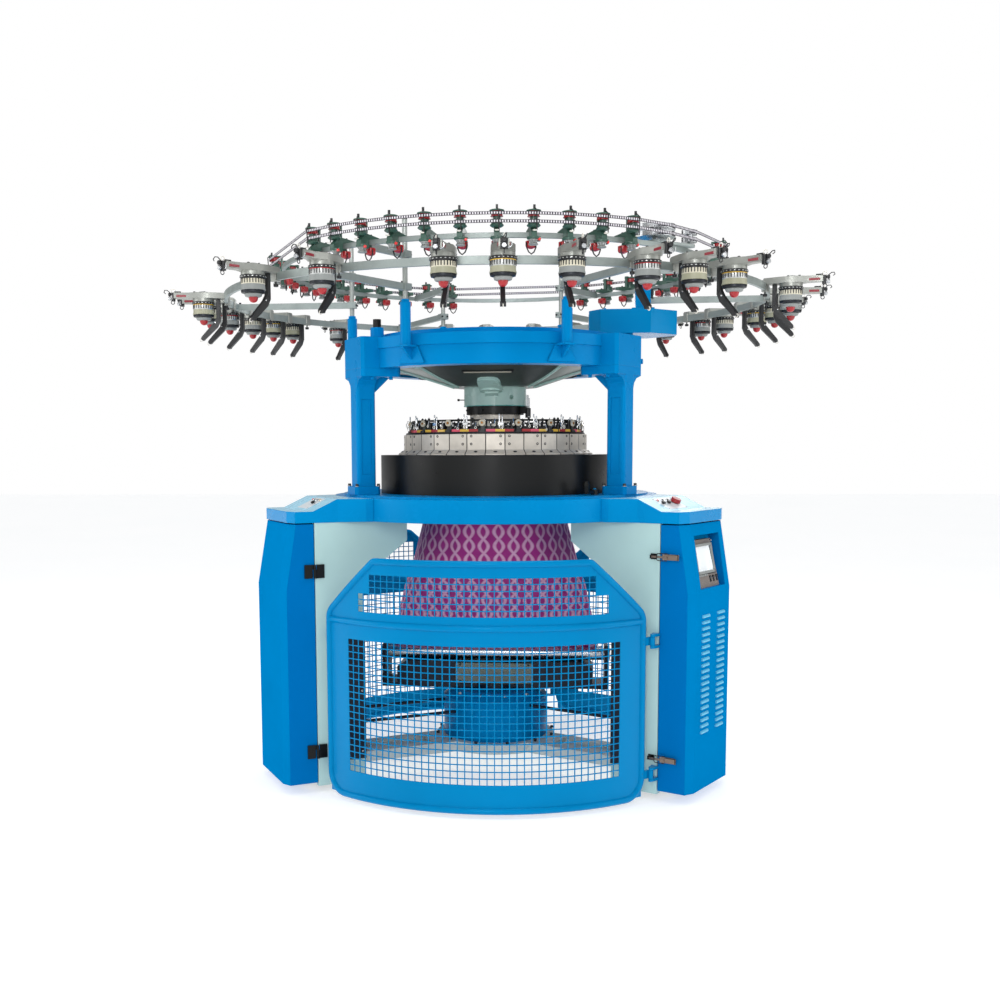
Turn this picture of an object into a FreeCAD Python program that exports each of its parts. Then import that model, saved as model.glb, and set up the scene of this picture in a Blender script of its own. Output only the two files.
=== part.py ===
import FreeCAD, Part
import math
import os
from FreeCAD import Vector

# Circular knitting machine with a three-legged frame, a cylinder and dial knitting head,
# a rotating cloth take-down and a creel of yarn feeders on two rings.
# Millimetres. +Z is up, the origin is on the floor on the axis of the needle cylinder.
# The operator's side, with the front guard door, faces -Y.
# Every leg sub-part is drawn with its leg along +X and then turned to its place.

# ---------------------------------------------------------------- driving dimensions
LEG_ANGLES = (-150.0, -30.0, 90.0)
LEG_NAMES = ("left", "right", "rear")
DOOR_ANGLES = (-90.0, 30.0, 150.0)
DOOR_NAMES = ("front", "right_rear", "left_rear")

SEATED = 0.3

BED_TOP = 1180.0
BED_THICKNESS = 92.0
BED_RADIUS = 700.0
BED_BORE = 440.0
SEAT_RADIUS = 662.0
SEAT_HEIGHT = 8.0

LEG_HALF_WIDTH = 200.0
LEG_BOTTOM = 25.0
PANEL_OUTER = 893.0
PANEL_INNER_TOP = 500.0
PANEL_INNER_LOW = 690.0
PANEL_SLOPE_TOP = 1005.0
PANEL_SHEET = 4.0

COVER_BOTTOM = 40.0
COVER_KINK = 823.0
COVER_START = 896.0
COVER_SIDE = 1010.0
COVER_FACE = 1029.0
COVER_FACE_HALF = 158.0
COVER_TOP_SET_BACK = 42.0
COVER_TOP_FACE_HALF = 149.0
COVER_SHEET = 3.0
COVER_GAP = 5.0

LID_DROP = 47.0
LID_SLOPE_START = 798.0
LID_SLOPE_END = 899.0
LID_OVERHANG = 4.0
LID_SIDE_REACH = 240.0

COLUMN_CIRCLE = 612.0
COLUMN_WIDTH = 84.0
COLUMN_FOOT = 112.0
COLUMN_FOOT_HEIGHT = 34.0
COLUMN_HEAD_REACH = 482.0
COLUMN_HEAD_HALF = 109.0
COLUMN_HEAD_HEIGHT = 34.0
COLUMN_FLARE_HEIGHT = 56.0

COLUMN_HEIGHT = 516.0
BRIDGE_HEIGHT = 122.0
BRIDGE_RADIUS = 588.0
BRIDGE_BORE = 500.0
BRIDGE_LIP = 7.0
BRIDGE_LIP_HEIGHT = 45.0
BRIDGE_RIM = (20.0, 23.0)
BLOCK_RISE = 4.0
BLOCK_INNER = 524.0

SKIRT_RADIUS = 500.0
SKIRT_HEIGHT = 162.0
SKIRT_SHEET = 4.0

CYLINDER_RADIUS = 330.0
CYLINDER_WALL = 16.0
GEAR_RIM = 18.0
GEAR_HEIGHT = 40.0
RACE_GAP = 0.06
RACE_HEIGHT = 20.0
CAM_HEIGHT = 92.0
CAM_RADIUS = 397.0
CAM_FLARE = 25.0
CAM_FLARE_HEIGHT = 22.0
CAM_COUNT = 32
CAM_JOINT = 1.6
CAM_CLEARANCE = 1.5
SADDLE_CLEARANCE = 30.0
SADDLE_SEAT = 30.0

GUIDE_RING_RADIUS = 372.0
GUIDE_RING_WIDTH = 16.0
GUIDE_RING_BAR = 8.0
GUIDE_RING_RISE = 54.0
GUIDE_POST = 8.0
GUIDE_POST_COUNT = 16

DIAL_THICKNESS = 16.0
DIAL_GAP = 6.0
DIAL_NECK = 110.0
DIAL_SHAFT = 55.0
DIAL_BORE = 60.0
DIAL_HOUSING_RADIUS = 135.0
DIAL_HOUSING_RISE = 198.0
DIAL_HOUSING_HEIGHT = 82.0
CLAMP_RING_RADIUS = 125.0
CLAMP_RING_HEIGHT = 35.0
DISH_TIP_RADIUS = 418.0
DISH_HUB_RADIUS = 188.0
DISH_WALL = 10.0
DISH_RISE = 74.0
DISH_RIB_COUNT = 6

OUTER_RING_RADIUS = 1144.0
OUTER_RING_RISE = 177.0
OUTER_RING_BAR = (14.0, 28.0)
INNER_RING_RADIUS = 904.0
RING_SPACING = 124.0
INNER_RING_BAR = (14.0, 18.0)
SPOKE_BAR = (16.0, 26.0)
POST_DIAMETER = 20.0
POST_RISE = 133.0
POST_CIRCLE_OUTSIDE = 628.0
CLAMP_BORE = POST_DIAMETER / 2 * 1.06 + 0.1
SOCKET_FLOOR = 60.0
POST_CIRCLE_ON_TOP = 560.0
SOCKET_DIAMETER = 42.0
SOCKET_RISE = 119.0
OUTSIDE_POST_ANGLES = (-120.0, -60.0, 180.0)
TOP_POST_ANGLES = (60.0, 120.0)
PILLAR_ANGLE = 0.0

STORAGE_ANGLES = (-169.0, -130.5, -114.5, -94.0, -85.0, -74.5, -62.0, -53.0, -43.5, -18.0, -3.0,
                  10.0, 19.0, 31.5, 39.0, 49.5, 64.0, 74.0, 84.0, 96.0, 106.0, 116.0,
                  134.5, 148.0, 154.5, 162.0, 172.0, -176.5)
STORAGE_HOUSING_LENGTH = 235.0
STORAGE_HOUSING_HEIGHT = 40.0
STORAGE_HOUSING_HALF = 40.0
STORAGE_REACH = 99.0
STORAGE_DRUM_RADIUS = 47.0
STORAGE_DRUM_HEIGHT = 76.0
STORAGE_CONE_RADIUS = 22.0
STORAGE_CONE_HEIGHT = 26.0
STORAGE_ARM_DROP = 168.0
STORAGE_ARM_REACH = 62.0

FEEDER_SECTOR_ANGLES = (-93.6, 26.4, 146.4)
FEEDERS_PER_SECTOR = 11
FEEDER_PITCH = 7.8
PULLEY_CIRCLE = 950.0
PULLEY_RADIUS = 23.0
PULLEY_HEIGHT = 19.0
PULLEY_SIDES = 8
UPPER_BELT_RISE = 64.0
LOWER_BELT_RISE = 36.0
BELT_WIDTH = 11.0
BELT_THICKNESS = 1.6
BELT_LIFT = 0.8
BELT_END_LIFT = 1.5
FEEDER_WIDTH = 26.0
FEEDER_DROP = 26.0
FEED_WHEEL_RADIUS = 17.0
FEED_WHEEL_HEIGHT = 28.0

DRIVE_BOX_RISE = 29.0
DRIVE_BOX_HEIGHT = 100.0
PILLAR_WIDTH = 64.0
PILLAR_PLACE = 633.0
QUALITY_WHEEL_ANGLE = -44.0
QUALITY_WHEEL_CIRCLE = 885.0
QUALITY_WHEEL_RADIUS = 78.0
IDLER_ANGLE = -33.0
IDLER_CIRCLE = 925.0
IDLER_RADIUS = 30.0

DOOR_RADIUS = 900.0
DOOR_HALF_ANGLE = 42.6
DOOR_TOP_HALF_ANGLE = 27.0
DOOR_BOTTOM = 15.0
DOOR_MID = 716.0
DOOR_SHOULDER = 744.0
DOOR_TOP = 968.0
DOOR_TUBE = 26.0
DOOR_SHEET = 2.5
DOOR_CORNER = 80.0
DOOR_FLATS = 14
DOOR_FLAT_ANGLE = 7.1
WINDOW_HALF_FLATS = 5
WINDOW_LOW = (125.0, 650.0)
WINDOW_LOW_ROWS = 5
WINDOW_HIGH_HALF_FLATS = 4
WINDOW_HIGH = (757.0, 905.0)
WINDOW_HIGH_ROWS = 1
MESH_BAR = 4.0
DOOR_HINGE_ANGLE = 44.9
DOOR_HINGE_HEIGHTS = (96.0, 620.0)
HINGE_PIN = 5.0
HINGE_KNUCKLE = 10.0
HINGE_CLEARANCE = 0.06
HINGE_EAR = 10.0
KNUCKLE_LENGTH = 34.0
KNUCKLE_PLAY = 0.5

COVER_HINGE_HEIGHTS = (142.0, 869.0)
COVER_HINGE_LEAF = (32.0, 54.0)
COVER_HINGE_OFFSET = 10.0
COVER_PIN = 3.0
COVER_KNUCKLE = 6.0
LATCH_HEIGHTS = (160.0, 950.0)
LATCH_LEVER_LENGTH = 66.0
LATCH_LEVER_HEIGHT = 22.0
LATCH_PIVOT = 914.0
LATCH_STAND_OFF = 13.0
LATCH_HOOK = 868.0

SCREEN_RECESS = (232.0, 206.0)
SCREEN_RECESS_BOTTOM = 833.0
SCREEN_RECESS_DEPTH = 44.0
SWITCH_PLACES = (20.0, 50.0, 80.0)
SWITCH_HEIGHT = SCREEN_RECESS_BOTTOM + 30.0
SWITCH_HALF = 9.0
SWITCH_PIVOT = 3.0
CASE_SIDES = (-104.0, 90.0)
GLASS_MARGIN = (62.0, 24.0, 24.0)
GLASS_SEAT = 10.0
LOUVRE_COLUMNS = (-72.0, 72.0)
LOUVRE_LENGTH = 62.0
LOUVRE_SLOT = 7.0
LOUVRE_COUNT = 20
LOUVRE_BOTTOM = 268.0
LOUVRE_PITCH = 24.0

GEARBOX_RADIUS = 230.0
GEARBOX_TOP = 322.0
GEARBOX_CHAMFER = 34.0
SPIGOT_RADIUS = 40.0
BASE_ARM_WIDTH = 190.0
BASE_ARM_BOTTOM = 72.0
BASE_ARM_THICKNESS = 44.0
FRAME_POST = 770.0
STAY_RADIUS = 7.0
FOOT_RADIUS = 45.0
FOOT_SPINDLE = 16.0

TAKEDOWN_BOX_START = 172.0
TAKEDOWN_BOX_END = 430.0
TAKEDOWN_BOX_HALF_DEPTH = 95.0
TAKEDOWN_BOTTOM = 330.0
TAKEDOWN_BOX_TOP = 445.0
TAKEDOWN_PLATE = 14.0
TAKEDOWN_GUARD = 3.0
ROLLER_HEIGHT = 474.0
ROLLER_RADIUS = 27.0
ROLLER_GAP = 2.0
ROLLER_HALF_LENGTH = 478.0
JOURNAL_RADIUS = 10.0
JOURNAL_CLEARANCE = 0.06

LEVER_PLACE = (552.0, -100.0)
LEVER_LENGTH = 70.0
LEVER_HUB = 16.0
KNOB_PLACE = (560.0, 40.0)
KNOB_RADIUS = 28.0
LEVER_PIN = 6.0

FABRIC_HALF_BED = 345.0
FABRIC_HALF_SPREAD = 440.0
SPREADER_HEIGHT = 890.0
FABRIC_NIP = 3.0
CLOTH_STEPS = 20

BUTTON_RADIUS = 9.0
BUTTON_TRAVEL = 3.0
STOP_RADIUS = 20.0
BUTTON_GUIDE_CLEARANCE = 0.3
BUTTON_WELL = 16.0
BUTTON_SPOTS = {"stop_button": (52.0, 30.0), "start_button": (52.0, -30.0),
                "inch_button": (52.0, -78.0)}
LEFT_BUTTON_SPOT = (52.0, 40.0)

# ---------------------------------------------------------------- derived sizes
BED_BOTTOM = BED_TOP - BED_THICKNESS
SEAT_TOP = BED_TOP + SEAT_HEIGHT
LID_TOP = BED_TOP
LID_LOW_TOP = LID_TOP - LID_DROP
COVER_TOP = BED_BOTTOM - COVER_GAP
CASE_BOTTOM = SCREEN_RECESS_BOTTOM + SEATED
CASE_TOP = SCREEN_RECESS_BOTTOM + SCREEN_RECESS[1] - 22.0
SKIRT_BOTTOM = SEAT_TOP + SEATED
RACE_TOP = BED_TOP - 10.0
SKIRT_TOP = SEAT_TOP + SKIRT_HEIGHT
BRIDGE_BOTTOM = SEAT_TOP + COLUMN_HEIGHT
BRIDGE_TOP = BRIDGE_BOTTOM + BRIDGE_HEIGHT
BLOCK_TOP = BRIDGE_TOP + BLOCK_RISE
SHELF_TOP = BRIDGE_TOP - BRIDGE_LIP_HEIGHT - SEATED
COLUMN_BOTTOM = SEAT_TOP
CAM_BOTTOM = SKIRT_TOP
CAM_TOP = CAM_BOTTOM + CAM_HEIGHT
GUIDE_RING_HEIGHT = CAM_TOP + GUIDE_RING_RISE
DIAL_HOUSING_TOP = CAM_TOP + DIAL_HOUSING_RISE
SOCKET_TOP = BRIDGE_TOP + SOCKET_RISE
DRIVE_BOX_BOTTOM = BRIDGE_TOP + DRIVE_BOX_RISE
DRIVE_BOX_TOP = DRIVE_BOX_BOTTOM + DRIVE_BOX_HEIGHT
OUTER_RING_HEIGHT = BRIDGE_TOP + OUTER_RING_RISE
INNER_RING_HEIGHT = OUTER_RING_HEIGHT + RING_SPACING
POST_TOP = INNER_RING_HEIGHT + POST_RISE
UPPER_BELT_HEIGHT = INNER_RING_HEIGHT + UPPER_BELT_RISE
LOWER_BELT_HEIGHT = INNER_RING_HEIGHT + LOWER_BELT_RISE
STORAGE_AXIS = OUTER_RING_RADIUS + STORAGE_REACH
CAM_INNER = CYLINDER_RADIUS + CAM_CLEARANCE
FEEDER_COUNT = FEEDERS_PER_SECTOR * len(FEEDER_SECTOR_ANGLES)
OUTER_RING_TOP = OUTER_RING_HEIGHT + OUTER_RING_BAR[1] / 2
INNER_RING_TOP = INNER_RING_HEIGHT + INNER_RING_BAR[1] / 2
DOOR_HINGE_RADIUS = DOOR_RADIUS + DOOR_TUBE / 2 + HINGE_KNUCKLE - 6.0

PARTS = "parts"
os.makedirs(PARTS, exist_ok=True)
UP = Vector(0, 0, 1)
ORIGIN = Vector(0, 0, 0)


# ---------------------------------------------------------------- shape helpers
def save(name, solids):
    """Write one node from a solid or a list of separate solids."""
    items = solids if isinstance(solids, list) else [solids]
    flat = [solid for item in items for solid in item.Solids]
    for solid in flat:
        if not solid.isValid() or solid.Volume <= 0:
            print("CHECK", name, "has a bad solid")
    shape = flat[0] if len(flat) == 1 else Part.makeCompound(flat)
    shape.exportStep(os.path.join(PARTS, name + ".step"))


def turned_to(shape, angle):
    """A copy of the shape turned about the machine's axis."""
    copy = shape.copy()
    copy.rotate(ORIGIN, UP, angle)
    return copy


def around(shape, angles):
    return [turned_to(shape, angle) for angle in angles]


def even_angles(count, start=0.0):
    return [start + index * 360.0 / count for index in range(count)]


def box(low, high):
    """A block from its lowest to its highest corner."""
    size = [high[axis] - low[axis] for axis in range(3)]
    return Part.makeBox(size[0], size[1], size[2], Vector(*low))


def face_of(points):
    return Part.Face(Part.makePolygon(points + [points[0]]))


def plan_prism(outline, bottom, top):
    """An outline in plan, raised from bottom to top."""
    return face_of([Vector(x, y, bottom) for x, y in outline]).extrude(Vector(0, 0, top - bottom))


def side_prism(outline, low, high):
    """An outline in the radial plane (radius, height), extruded across from low to high."""
    return face_of([Vector(r, low, z) for r, z in outline]).extrude(Vector(0, high - low, 0))


def front_prism(outline, low, high):
    """An outline seen along the radius (across, height), extruded outwards from low to high."""
    return face_of([Vector(low, y, z) for y, z in outline]).extrude(Vector(high - low, 0, 0))


def revolved(profile, centre=(0.0, 0.0)):
    """A turned solid from a (radius, height) profile, about a vertical axis at centre."""
    face = face_of([Vector(centre[0] + r, centre[1], z) for r, z in profile])
    return face.revolve(Vector(centre[0], centre[1], 0), UP, 360)


def ring(inner, outer, bottom, top):
    return revolved([(inner, bottom), (outer, bottom), (outer, top), (inner, top)])


def cylinder(radius, bottom, top, centre=(0.0, 0.0)):
    return Part.makeCylinder(radius, top - bottom, Vector(centre[0], centre[1], bottom), UP)


def patch(corners):
    """Four corners as one flat face, or as two triangles where they don't lie in a plane."""
    first, second, third, fourth = corners
    normal = (second - first).cross(third - first).normalize()
    if abs(normal.dot(fourth - first)) < 1e-6:
        return [face_of(corners)]
    return [face_of([first, second, third]), face_of([first, third, fourth])]


def flat_sided(rings):
    """A solid with flat faces between matching polygons: rings of corners from one end to the other."""
    faces = [face_of(rings[0]), face_of(rings[-1])]
    sides = len(rings[0])
    for lower, upper in zip(rings, rings[1:]):
        for index in range(sides):
            after = (index + 1) % sides
            faces += patch([lower[index], lower[after], upper[after], upper[index]])
    solid = Part.makeSolid(Part.makeShell(faces))
    if solid.Volume < 0:
        solid.reverse()
    return solid


def faceted(profile, sides, centre):
    """A small turned piece with flat sides, one polygon for each profile point."""
    rings = []
    for radius, height in profile:
        corners = []
        for index in range(sides):
            turn = 2 * math.pi * (index + 0.5) / sides
            corners.append(Vector(centre[0] + radius * math.cos(turn),
                                  centre[1] + radius * math.sin(turn), height))
        rings.append(corners)
    return flat_sided(rings)


def rounded_bar(half_x, half_y, corner, bottom, top, centre=(0.0, 0.0)):
    """A rectangular bar with rounded vertical edges."""
    block = box((centre[0] - half_x, centre[1] - half_y, bottom),
                (centre[0] + half_x, centre[1] + half_y, top))
    upright = [edge for edge in block.Edges if abs(edge.tangentAt(edge.FirstParameter).z) > 0.99]
    return block.makeFillet(corner, upright)


def chamfered_bar(half_x, half_y, corner, bottom, top, centre=(0.0, 0.0)):
    """A rectangular bar with chamfered vertical edges."""
    outline = [(-half_x, -half_y + corner), (-half_x + corner, -half_y), (half_x - corner, -half_y),
               (half_x, -half_y + corner), (half_x, half_y - corner), (half_x - corner, half_y),
               (-half_x + corner, half_y), (-half_x, half_y - corner)]
    return plan_prism([(centre[0] + x, centre[1] + y) for x, y in outline], bottom, top)


def polar(radius, angle, height=0.0):
    turn = math.radians(angle)
    return Vector(radius * math.cos(turn), radius * math.sin(turn), height)


def rod(start, end, radius):
    along = end - start
    return Part.makeCylinder(radius, along.Length, start, along)


def joined(pieces):
    return pieces[0].fuse(pieces[1:])


# ---------------------------------------------------------------- base and legs
def base_arms():
    """Three flat arms from the centre plate to the foot of each leg."""
    top = BASE_ARM_BOTTOM + BASE_ARM_THICKNESS
    hub = cylinder(GEARBOX_RADIUS + 30, BASE_ARM_BOTTOM, top)
    half = BASE_ARM_WIDTH / 2
    reach = PANEL_OUTER - 60
    outline = [(0, -half * 1.2), (reach, -half), (reach, half), (0, half * 1.2)]
    arm = plan_prism(outline, BASE_ARM_BOTTOM, top)
    pocket = plan_prism([(330, -half * 0.6), (reach - 120, -half * 0.55),
                         (reach - 120, half * 0.55), (330, half * 0.6)], top - 16, top + 1)
    arm = arm.cut(pocket)
    return joined([hub] + around(arm, LEG_ANGLES)).removeSplitter()


def steel_frame():
    """The upright post inside each leg, and the stays that tie the posts to the gearbox."""
    base_top = BASE_ARM_BOTTOM + BASE_ARM_THICKNESS
    post = box((FRAME_POST - 45, -130, base_top), (FRAME_POST + 45, 130, BED_BOTTOM))
    post = post.cut(box((FRAME_POST - 50, -75, base_top + 160), (FRAME_POST + 50, 75, BED_BOTTOM - 160)))
    stays = []
    for height, across in ((268, -60), (236, 60)):
        inner = math.sqrt(GEARBOX_RADIUS ** 2 - (abs(across) - STAY_RADIUS) ** 2) + SEATED
        end = FRAME_POST - 45 - SEATED
        stays.append(rod(Vector(inner, across, height), Vector(end, across, height), STAY_RADIUS))
    return [turned_to(shape, angle) for angle in LEG_ANGLES for shape in [post] + stays]


def levelling_feet():
    """Screw feet: a pad on the floor and a spindle up to the base arm."""
    feet = []
    for angle in LEG_ANGLES:
        for radius, across in ((770, -62), (770, 62)):
            pad = faceted([(FOOT_RADIUS, 0), (FOOT_RADIUS, 10), (FOOT_RADIUS * 0.5, 24)], 12,
                          (radius, across))
            spindle = faceted([(FOOT_SPINDLE, 20), (FOOT_SPINDLE, BASE_ARM_BOTTOM)], 6, (radius, across))
            feet.append(turned_to(pad.fuse(spindle), angle))
    return feet


def side_panels():
    """The flat grey sheets on both flanks of each leg."""
    slope_run = PANEL_INNER_LOW - PANEL_INNER_TOP
    slope_low = PANEL_SLOPE_TOP - slope_run * 0.75
    outline = [(PANEL_OUTER, LEG_BOTTOM), (PANEL_OUTER, BED_BOTTOM), (PANEL_INNER_TOP, BED_BOTTOM),
               (PANEL_INNER_TOP, PANEL_SLOPE_TOP), (PANEL_INNER_LOW, slope_low),
               (PANEL_INNER_LOW, LEG_BOTTOM)]
    panels = []
    for angle in LEG_ANGLES:
        for side in (-1, 1):
            inner = side * (LEG_HALF_WIDTH - PANEL_SHEET)
            outer = side * LEG_HALF_WIDTH
            sheet = side_prism(outline, min(inner, outer), max(inner, outer))
            flange_low = min(inner, inner - side * 22)
            flange_high = max(inner, inner - side * 22)
            flange = box((PANEL_OUTER - PANEL_SHEET, flange_low, LEG_BOTTOM),
                         (PANEL_OUTER, flange_high, BED_BOTTOM))
            foot_flange = box((PANEL_INNER_LOW, flange_low, BASE_ARM_BOTTOM),
                              (PANEL_OUTER, flange_high, BASE_ARM_BOTTOM + PANEL_SHEET))
            panels.append(turned_to(joined([sheet, flange, foot_flange]), angle))
    return panels


def cover_section(side_radius, face_radius, face_half, half_width, start, height):
    outline = [(start, -half_width), (side_radius, -half_width), (face_radius, -face_half),
               (face_radius, face_half), (side_radius, half_width), (start, half_width)]
    return [Vector(x, y, height) for x, y in outline]


def cover_body(inset, bottom, top):
    """The cover's outer form, or with an inset its hollow: upright below the kink, set back above."""
    half = LEG_HALF_WIDTH - inset
    start = COVER_START - (1 if inset else 0)
    set_back = COVER_TOP_SET_BACK * (top - COVER_KINK) / (COVER_TOP - COVER_KINK)
    sections = []
    for height, back, face_half in ((bottom, 0, COVER_FACE_HALF), (COVER_KINK, 0, COVER_FACE_HALF),
                                    (top, set_back, COVER_TOP_FACE_HALF)):
        sections.append(cover_section(COVER_SIDE - back - inset, COVER_FACE - back - inset,
                                      face_half - inset * 0.4, half, start, height))
    return flat_sided(sections)


def face_radius_at(height):
    """Radius of the cover's outer face at a height."""
    above = max(0.0, height - COVER_KINK)
    return COVER_FACE - COVER_TOP_SET_BACK * above / (COVER_TOP - COVER_KINK)


def leg_cover():
    """The blue sheet door that closes the outside of a leg, with its two hinge leaves."""
    shell = cover_body(0, COVER_BOTTOM, COVER_TOP)
    hollow = cover_body(COVER_SHEET, COVER_BOTTOM + COVER_SHEET, COVER_TOP - COVER_SHEET)
    shell = shell.cut(hollow)
    half = LEG_HALF_WIDTH
    leaves = []
    axis = (COVER_START, half + COVER_HINGE_OFFSET)
    for height in COVER_HINGE_HEIGHTS:
        top = height + COVER_HINGE_LEAF[1]
        leaf = box((COVER_START + 9, half - 1, height),
                   (COVER_START + 9 + COVER_HINGE_LEAF[0], half + COVER_HINGE_OFFSET - 3, top))
        low = top - COVER_HINGE_LEAF[1] / 3
        knuckle = cylinder(COVER_KNUCKLE, low, top, axis)
        web = box((COVER_START + 2, half + COVER_HINGE_OFFSET - 5, low),
                  (COVER_START + 12, half + COVER_HINGE_OFFSET - 3, top))
        bore = cylinder(COVER_PIN + HINGE_CLEARANCE, low - 1, top + 1, axis)
        leaves.append(joined([leaf, web, knuckle]).cut(bore))
    return joined([shell] + leaves)


def right_leg_cover():
    """The right leg's cover also carries the control recess and the cooling louvres."""
    cover = leg_cover()
    half = SCREEN_RECESS[0] / 2
    bottom = SCREEN_RECESS_BOTTOM
    top = bottom + SCREEN_RECESS[1]
    floor_low = face_radius_at(bottom) - SCREEN_RECESS_DEPTH
    floor_high = face_radius_at(top) - SCREEN_RECESS_DEPTH
    wall = COVER_SHEET
    skin_low = face_radius_at(bottom - wall) - 1.5
    skin_high = face_radius_at(top + wall) - 1.5
    pan = side_prism([(floor_low - wall, bottom - wall), (skin_low, bottom - wall),
                      (skin_high, top + wall), (floor_high - wall, top + wall)],
                     -half - wall, half + wall)
    pocket = side_prism([(floor_low, bottom), (COVER_FACE + 5, bottom),
                         (COVER_FACE + 5, top), (floor_high, top)], -half, half)
    cover = cover.fuse(pan).cut(pocket)
    slots = []
    for across in LOUVRE_COLUMNS:
        for index in range(LOUVRE_COUNT):
            low = LOUVRE_BOTTOM + index * LOUVRE_PITCH
            slots.append(box((COVER_FACE - 2 * COVER_SHEET, across - LOUVRE_LENGTH / 2, low),
                             (COVER_FACE + 1, across + LOUVRE_LENGTH / 2, low + LOUVRE_SLOT)))
    return cover.cut(slots)


def panel_back(height):
    """Radius of the recess floor that the instrument case lies on."""
    return face_radius_at(height) - SCREEN_RECESS_DEPTH + SEATED


def panel_slab(low, high, near, far, start, end):
    """A slab parallel to the recess floor: heights, distances from the floor, and width."""
    return side_prism([(panel_back(low) + near, low), (panel_back(low) + far, low),
                       (panel_back(high) + far, high), (panel_back(high) + near, high)], start, end)


def control_panel():
    """The dark tilted instrument case that sits in the recess, with its screen opening."""
    case = side_prism([(panel_back(CASE_BOTTOM), CASE_BOTTOM), (panel_back(CASE_BOTTOM) + 30, CASE_BOTTOM),
                       (panel_back(CASE_TOP) + 16, CASE_TOP), (panel_back(CASE_TOP), CASE_TOP)],
                      CASE_SIDES[0], CASE_SIDES[1])
    recess = panel_slab(CASE_BOTTOM + GLASS_MARGIN[0], CASE_TOP - GLASS_MARGIN[1], GLASS_SEAT, 60,
                        CASE_SIDES[0] + GLASS_MARGIN[2], CASE_SIDES[1] - GLASS_MARGIN[2])
    case = case.cut(recess)
    for across in SWITCH_PLACES:
        half = SWITCH_HALF + SEATED
        case = case.cut(box((switch_seat(), across - half, SWITCH_HEIGHT - 12.3),
                            (switch_seat() + 60, across + half, SWITCH_HEIGHT + 12.3)))
    return case


def switch_seat():
    return face_radius_at(SWITCH_HEIGHT) - SCREEN_RECESS_DEPTH + 12.0


def switch_rocker(across):
    """A rocker switch on its round cross pivot, in the case's cut-out."""
    seat = switch_seat()
    rocker = side_prism([(seat + 2.5, SWITCH_HEIGHT - 9), (seat + 18, SWITCH_HEIGHT - 9.5),
                         (seat + 15, SWITCH_HEIGHT), (seat + 19, SWITCH_HEIGHT + 9),
                         (seat + 2.5, SWITCH_HEIGHT + 9)], across - SWITCH_HALF, across + SWITCH_HALF)
    pivot = Part.makeCylinder(SWITCH_PIVOT, 2 * SWITCH_HALF + 0.4,
                              Vector(seat + 9, across - SWITCH_HALF - 0.2, SWITCH_HEIGHT), Vector(0, 1, 0))
    return rocker.fuse(pivot)


def screen_glass():
    """The display's glass, seated in the case."""
    return panel_slab(CASE_BOTTOM + GLASS_MARGIN[0] + SEATED, CASE_TOP - GLASS_MARGIN[1] - SEATED,
                      GLASS_SEAT, GLASS_SEAT + 3, CASE_SIDES[0] + GLASS_MARGIN[2] + SEATED,
                      CASE_SIDES[1] - GLASS_MARGIN[2] - SEATED)


def leg_lid():
    """The cast lid over a leg: level with the bed, then sloping down to the outer shelf."""
    reach = COVER_SIDE - COVER_TOP_SET_BACK + LID_OVERHANG
    face = COVER_FACE - COVER_TOP_SET_BACK + LID_OVERHANG
    inner = 560.0
    outline = [(inner, -LID_SIDE_REACH), (690, -LID_SIDE_REACH), (LID_SLOPE_START, -half_lid()),
               (reach, -half_lid()), (face, -COVER_TOP_FACE_HALF), (face, COVER_TOP_FACE_HALF),
               (reach, half_lid()), (LID_SLOPE_START, half_lid()), (690, LID_SIDE_REACH),
               (inner, LID_SIDE_REACH)]
    slab = plan_prism(outline, BED_BOTTOM, LID_TOP)
    drop = side_prism([(LID_SLOPE_START, LID_TOP), (LID_SLOPE_END, LID_LOW_TOP),
                       (face + 10, LID_LOW_TOP), (face + 10, LID_TOP + 10),
                       (LID_SLOPE_START, LID_TOP + 10)], -LID_SIDE_REACH - 1, LID_SIDE_REACH + 1)
    bed_space = cylinder(BED_RADIUS + 0.3, BED_BOTTOM - 1, LID_TOP + 1)
    return slab.cut([drop, bed_space])


def half_lid():
    return LEG_HALF_WIDTH + LID_OVERHANG


def slope_normal():
    run = LID_SLOPE_END - LID_SLOPE_START
    length = math.hypot(run, LID_DROP)
    return Vector(LID_DROP / length, 0, run / length)


def slope_point(along, across, above=0.0):
    """A point on the lid's slope, measured down it from its upper edge."""
    run = Vector(LID_SLOPE_END - LID_SLOPE_START, 0, -LID_DROP).normalize()
    return Vector(LID_SLOPE_START, across, LID_TOP) + run * along + slope_normal() * above


def button(along, across, radius, rise):
    """A push button whose stem runs in a well in the lid."""
    normal = slope_normal()
    stem = Part.makeCylinder(radius * 0.6, BUTTON_WELL - BUTTON_TRAVEL - 1,
                             slope_point(along, across, -BUTTON_WELL + BUTTON_TRAVEL + 1), normal)
    cap = Part.makeCylinder(radius, rise, slope_point(along, across, BUTTON_TRAVEL + 0.3), normal)
    neck = Part.makeCylinder(radius * 0.6, BUTTON_TRAVEL + 0.4, slope_point(along, across, 0), normal)
    return joined([stem, neck, cap]).removeSplitter()


def button_well(along, across, radius):
    return Part.makeCylinder(radius * 0.6 + BUTTON_GUIDE_CLEARANCE, BUTTON_WELL + 5,
                             slope_point(along, across, -BUTTON_WELL), slope_normal())


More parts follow.
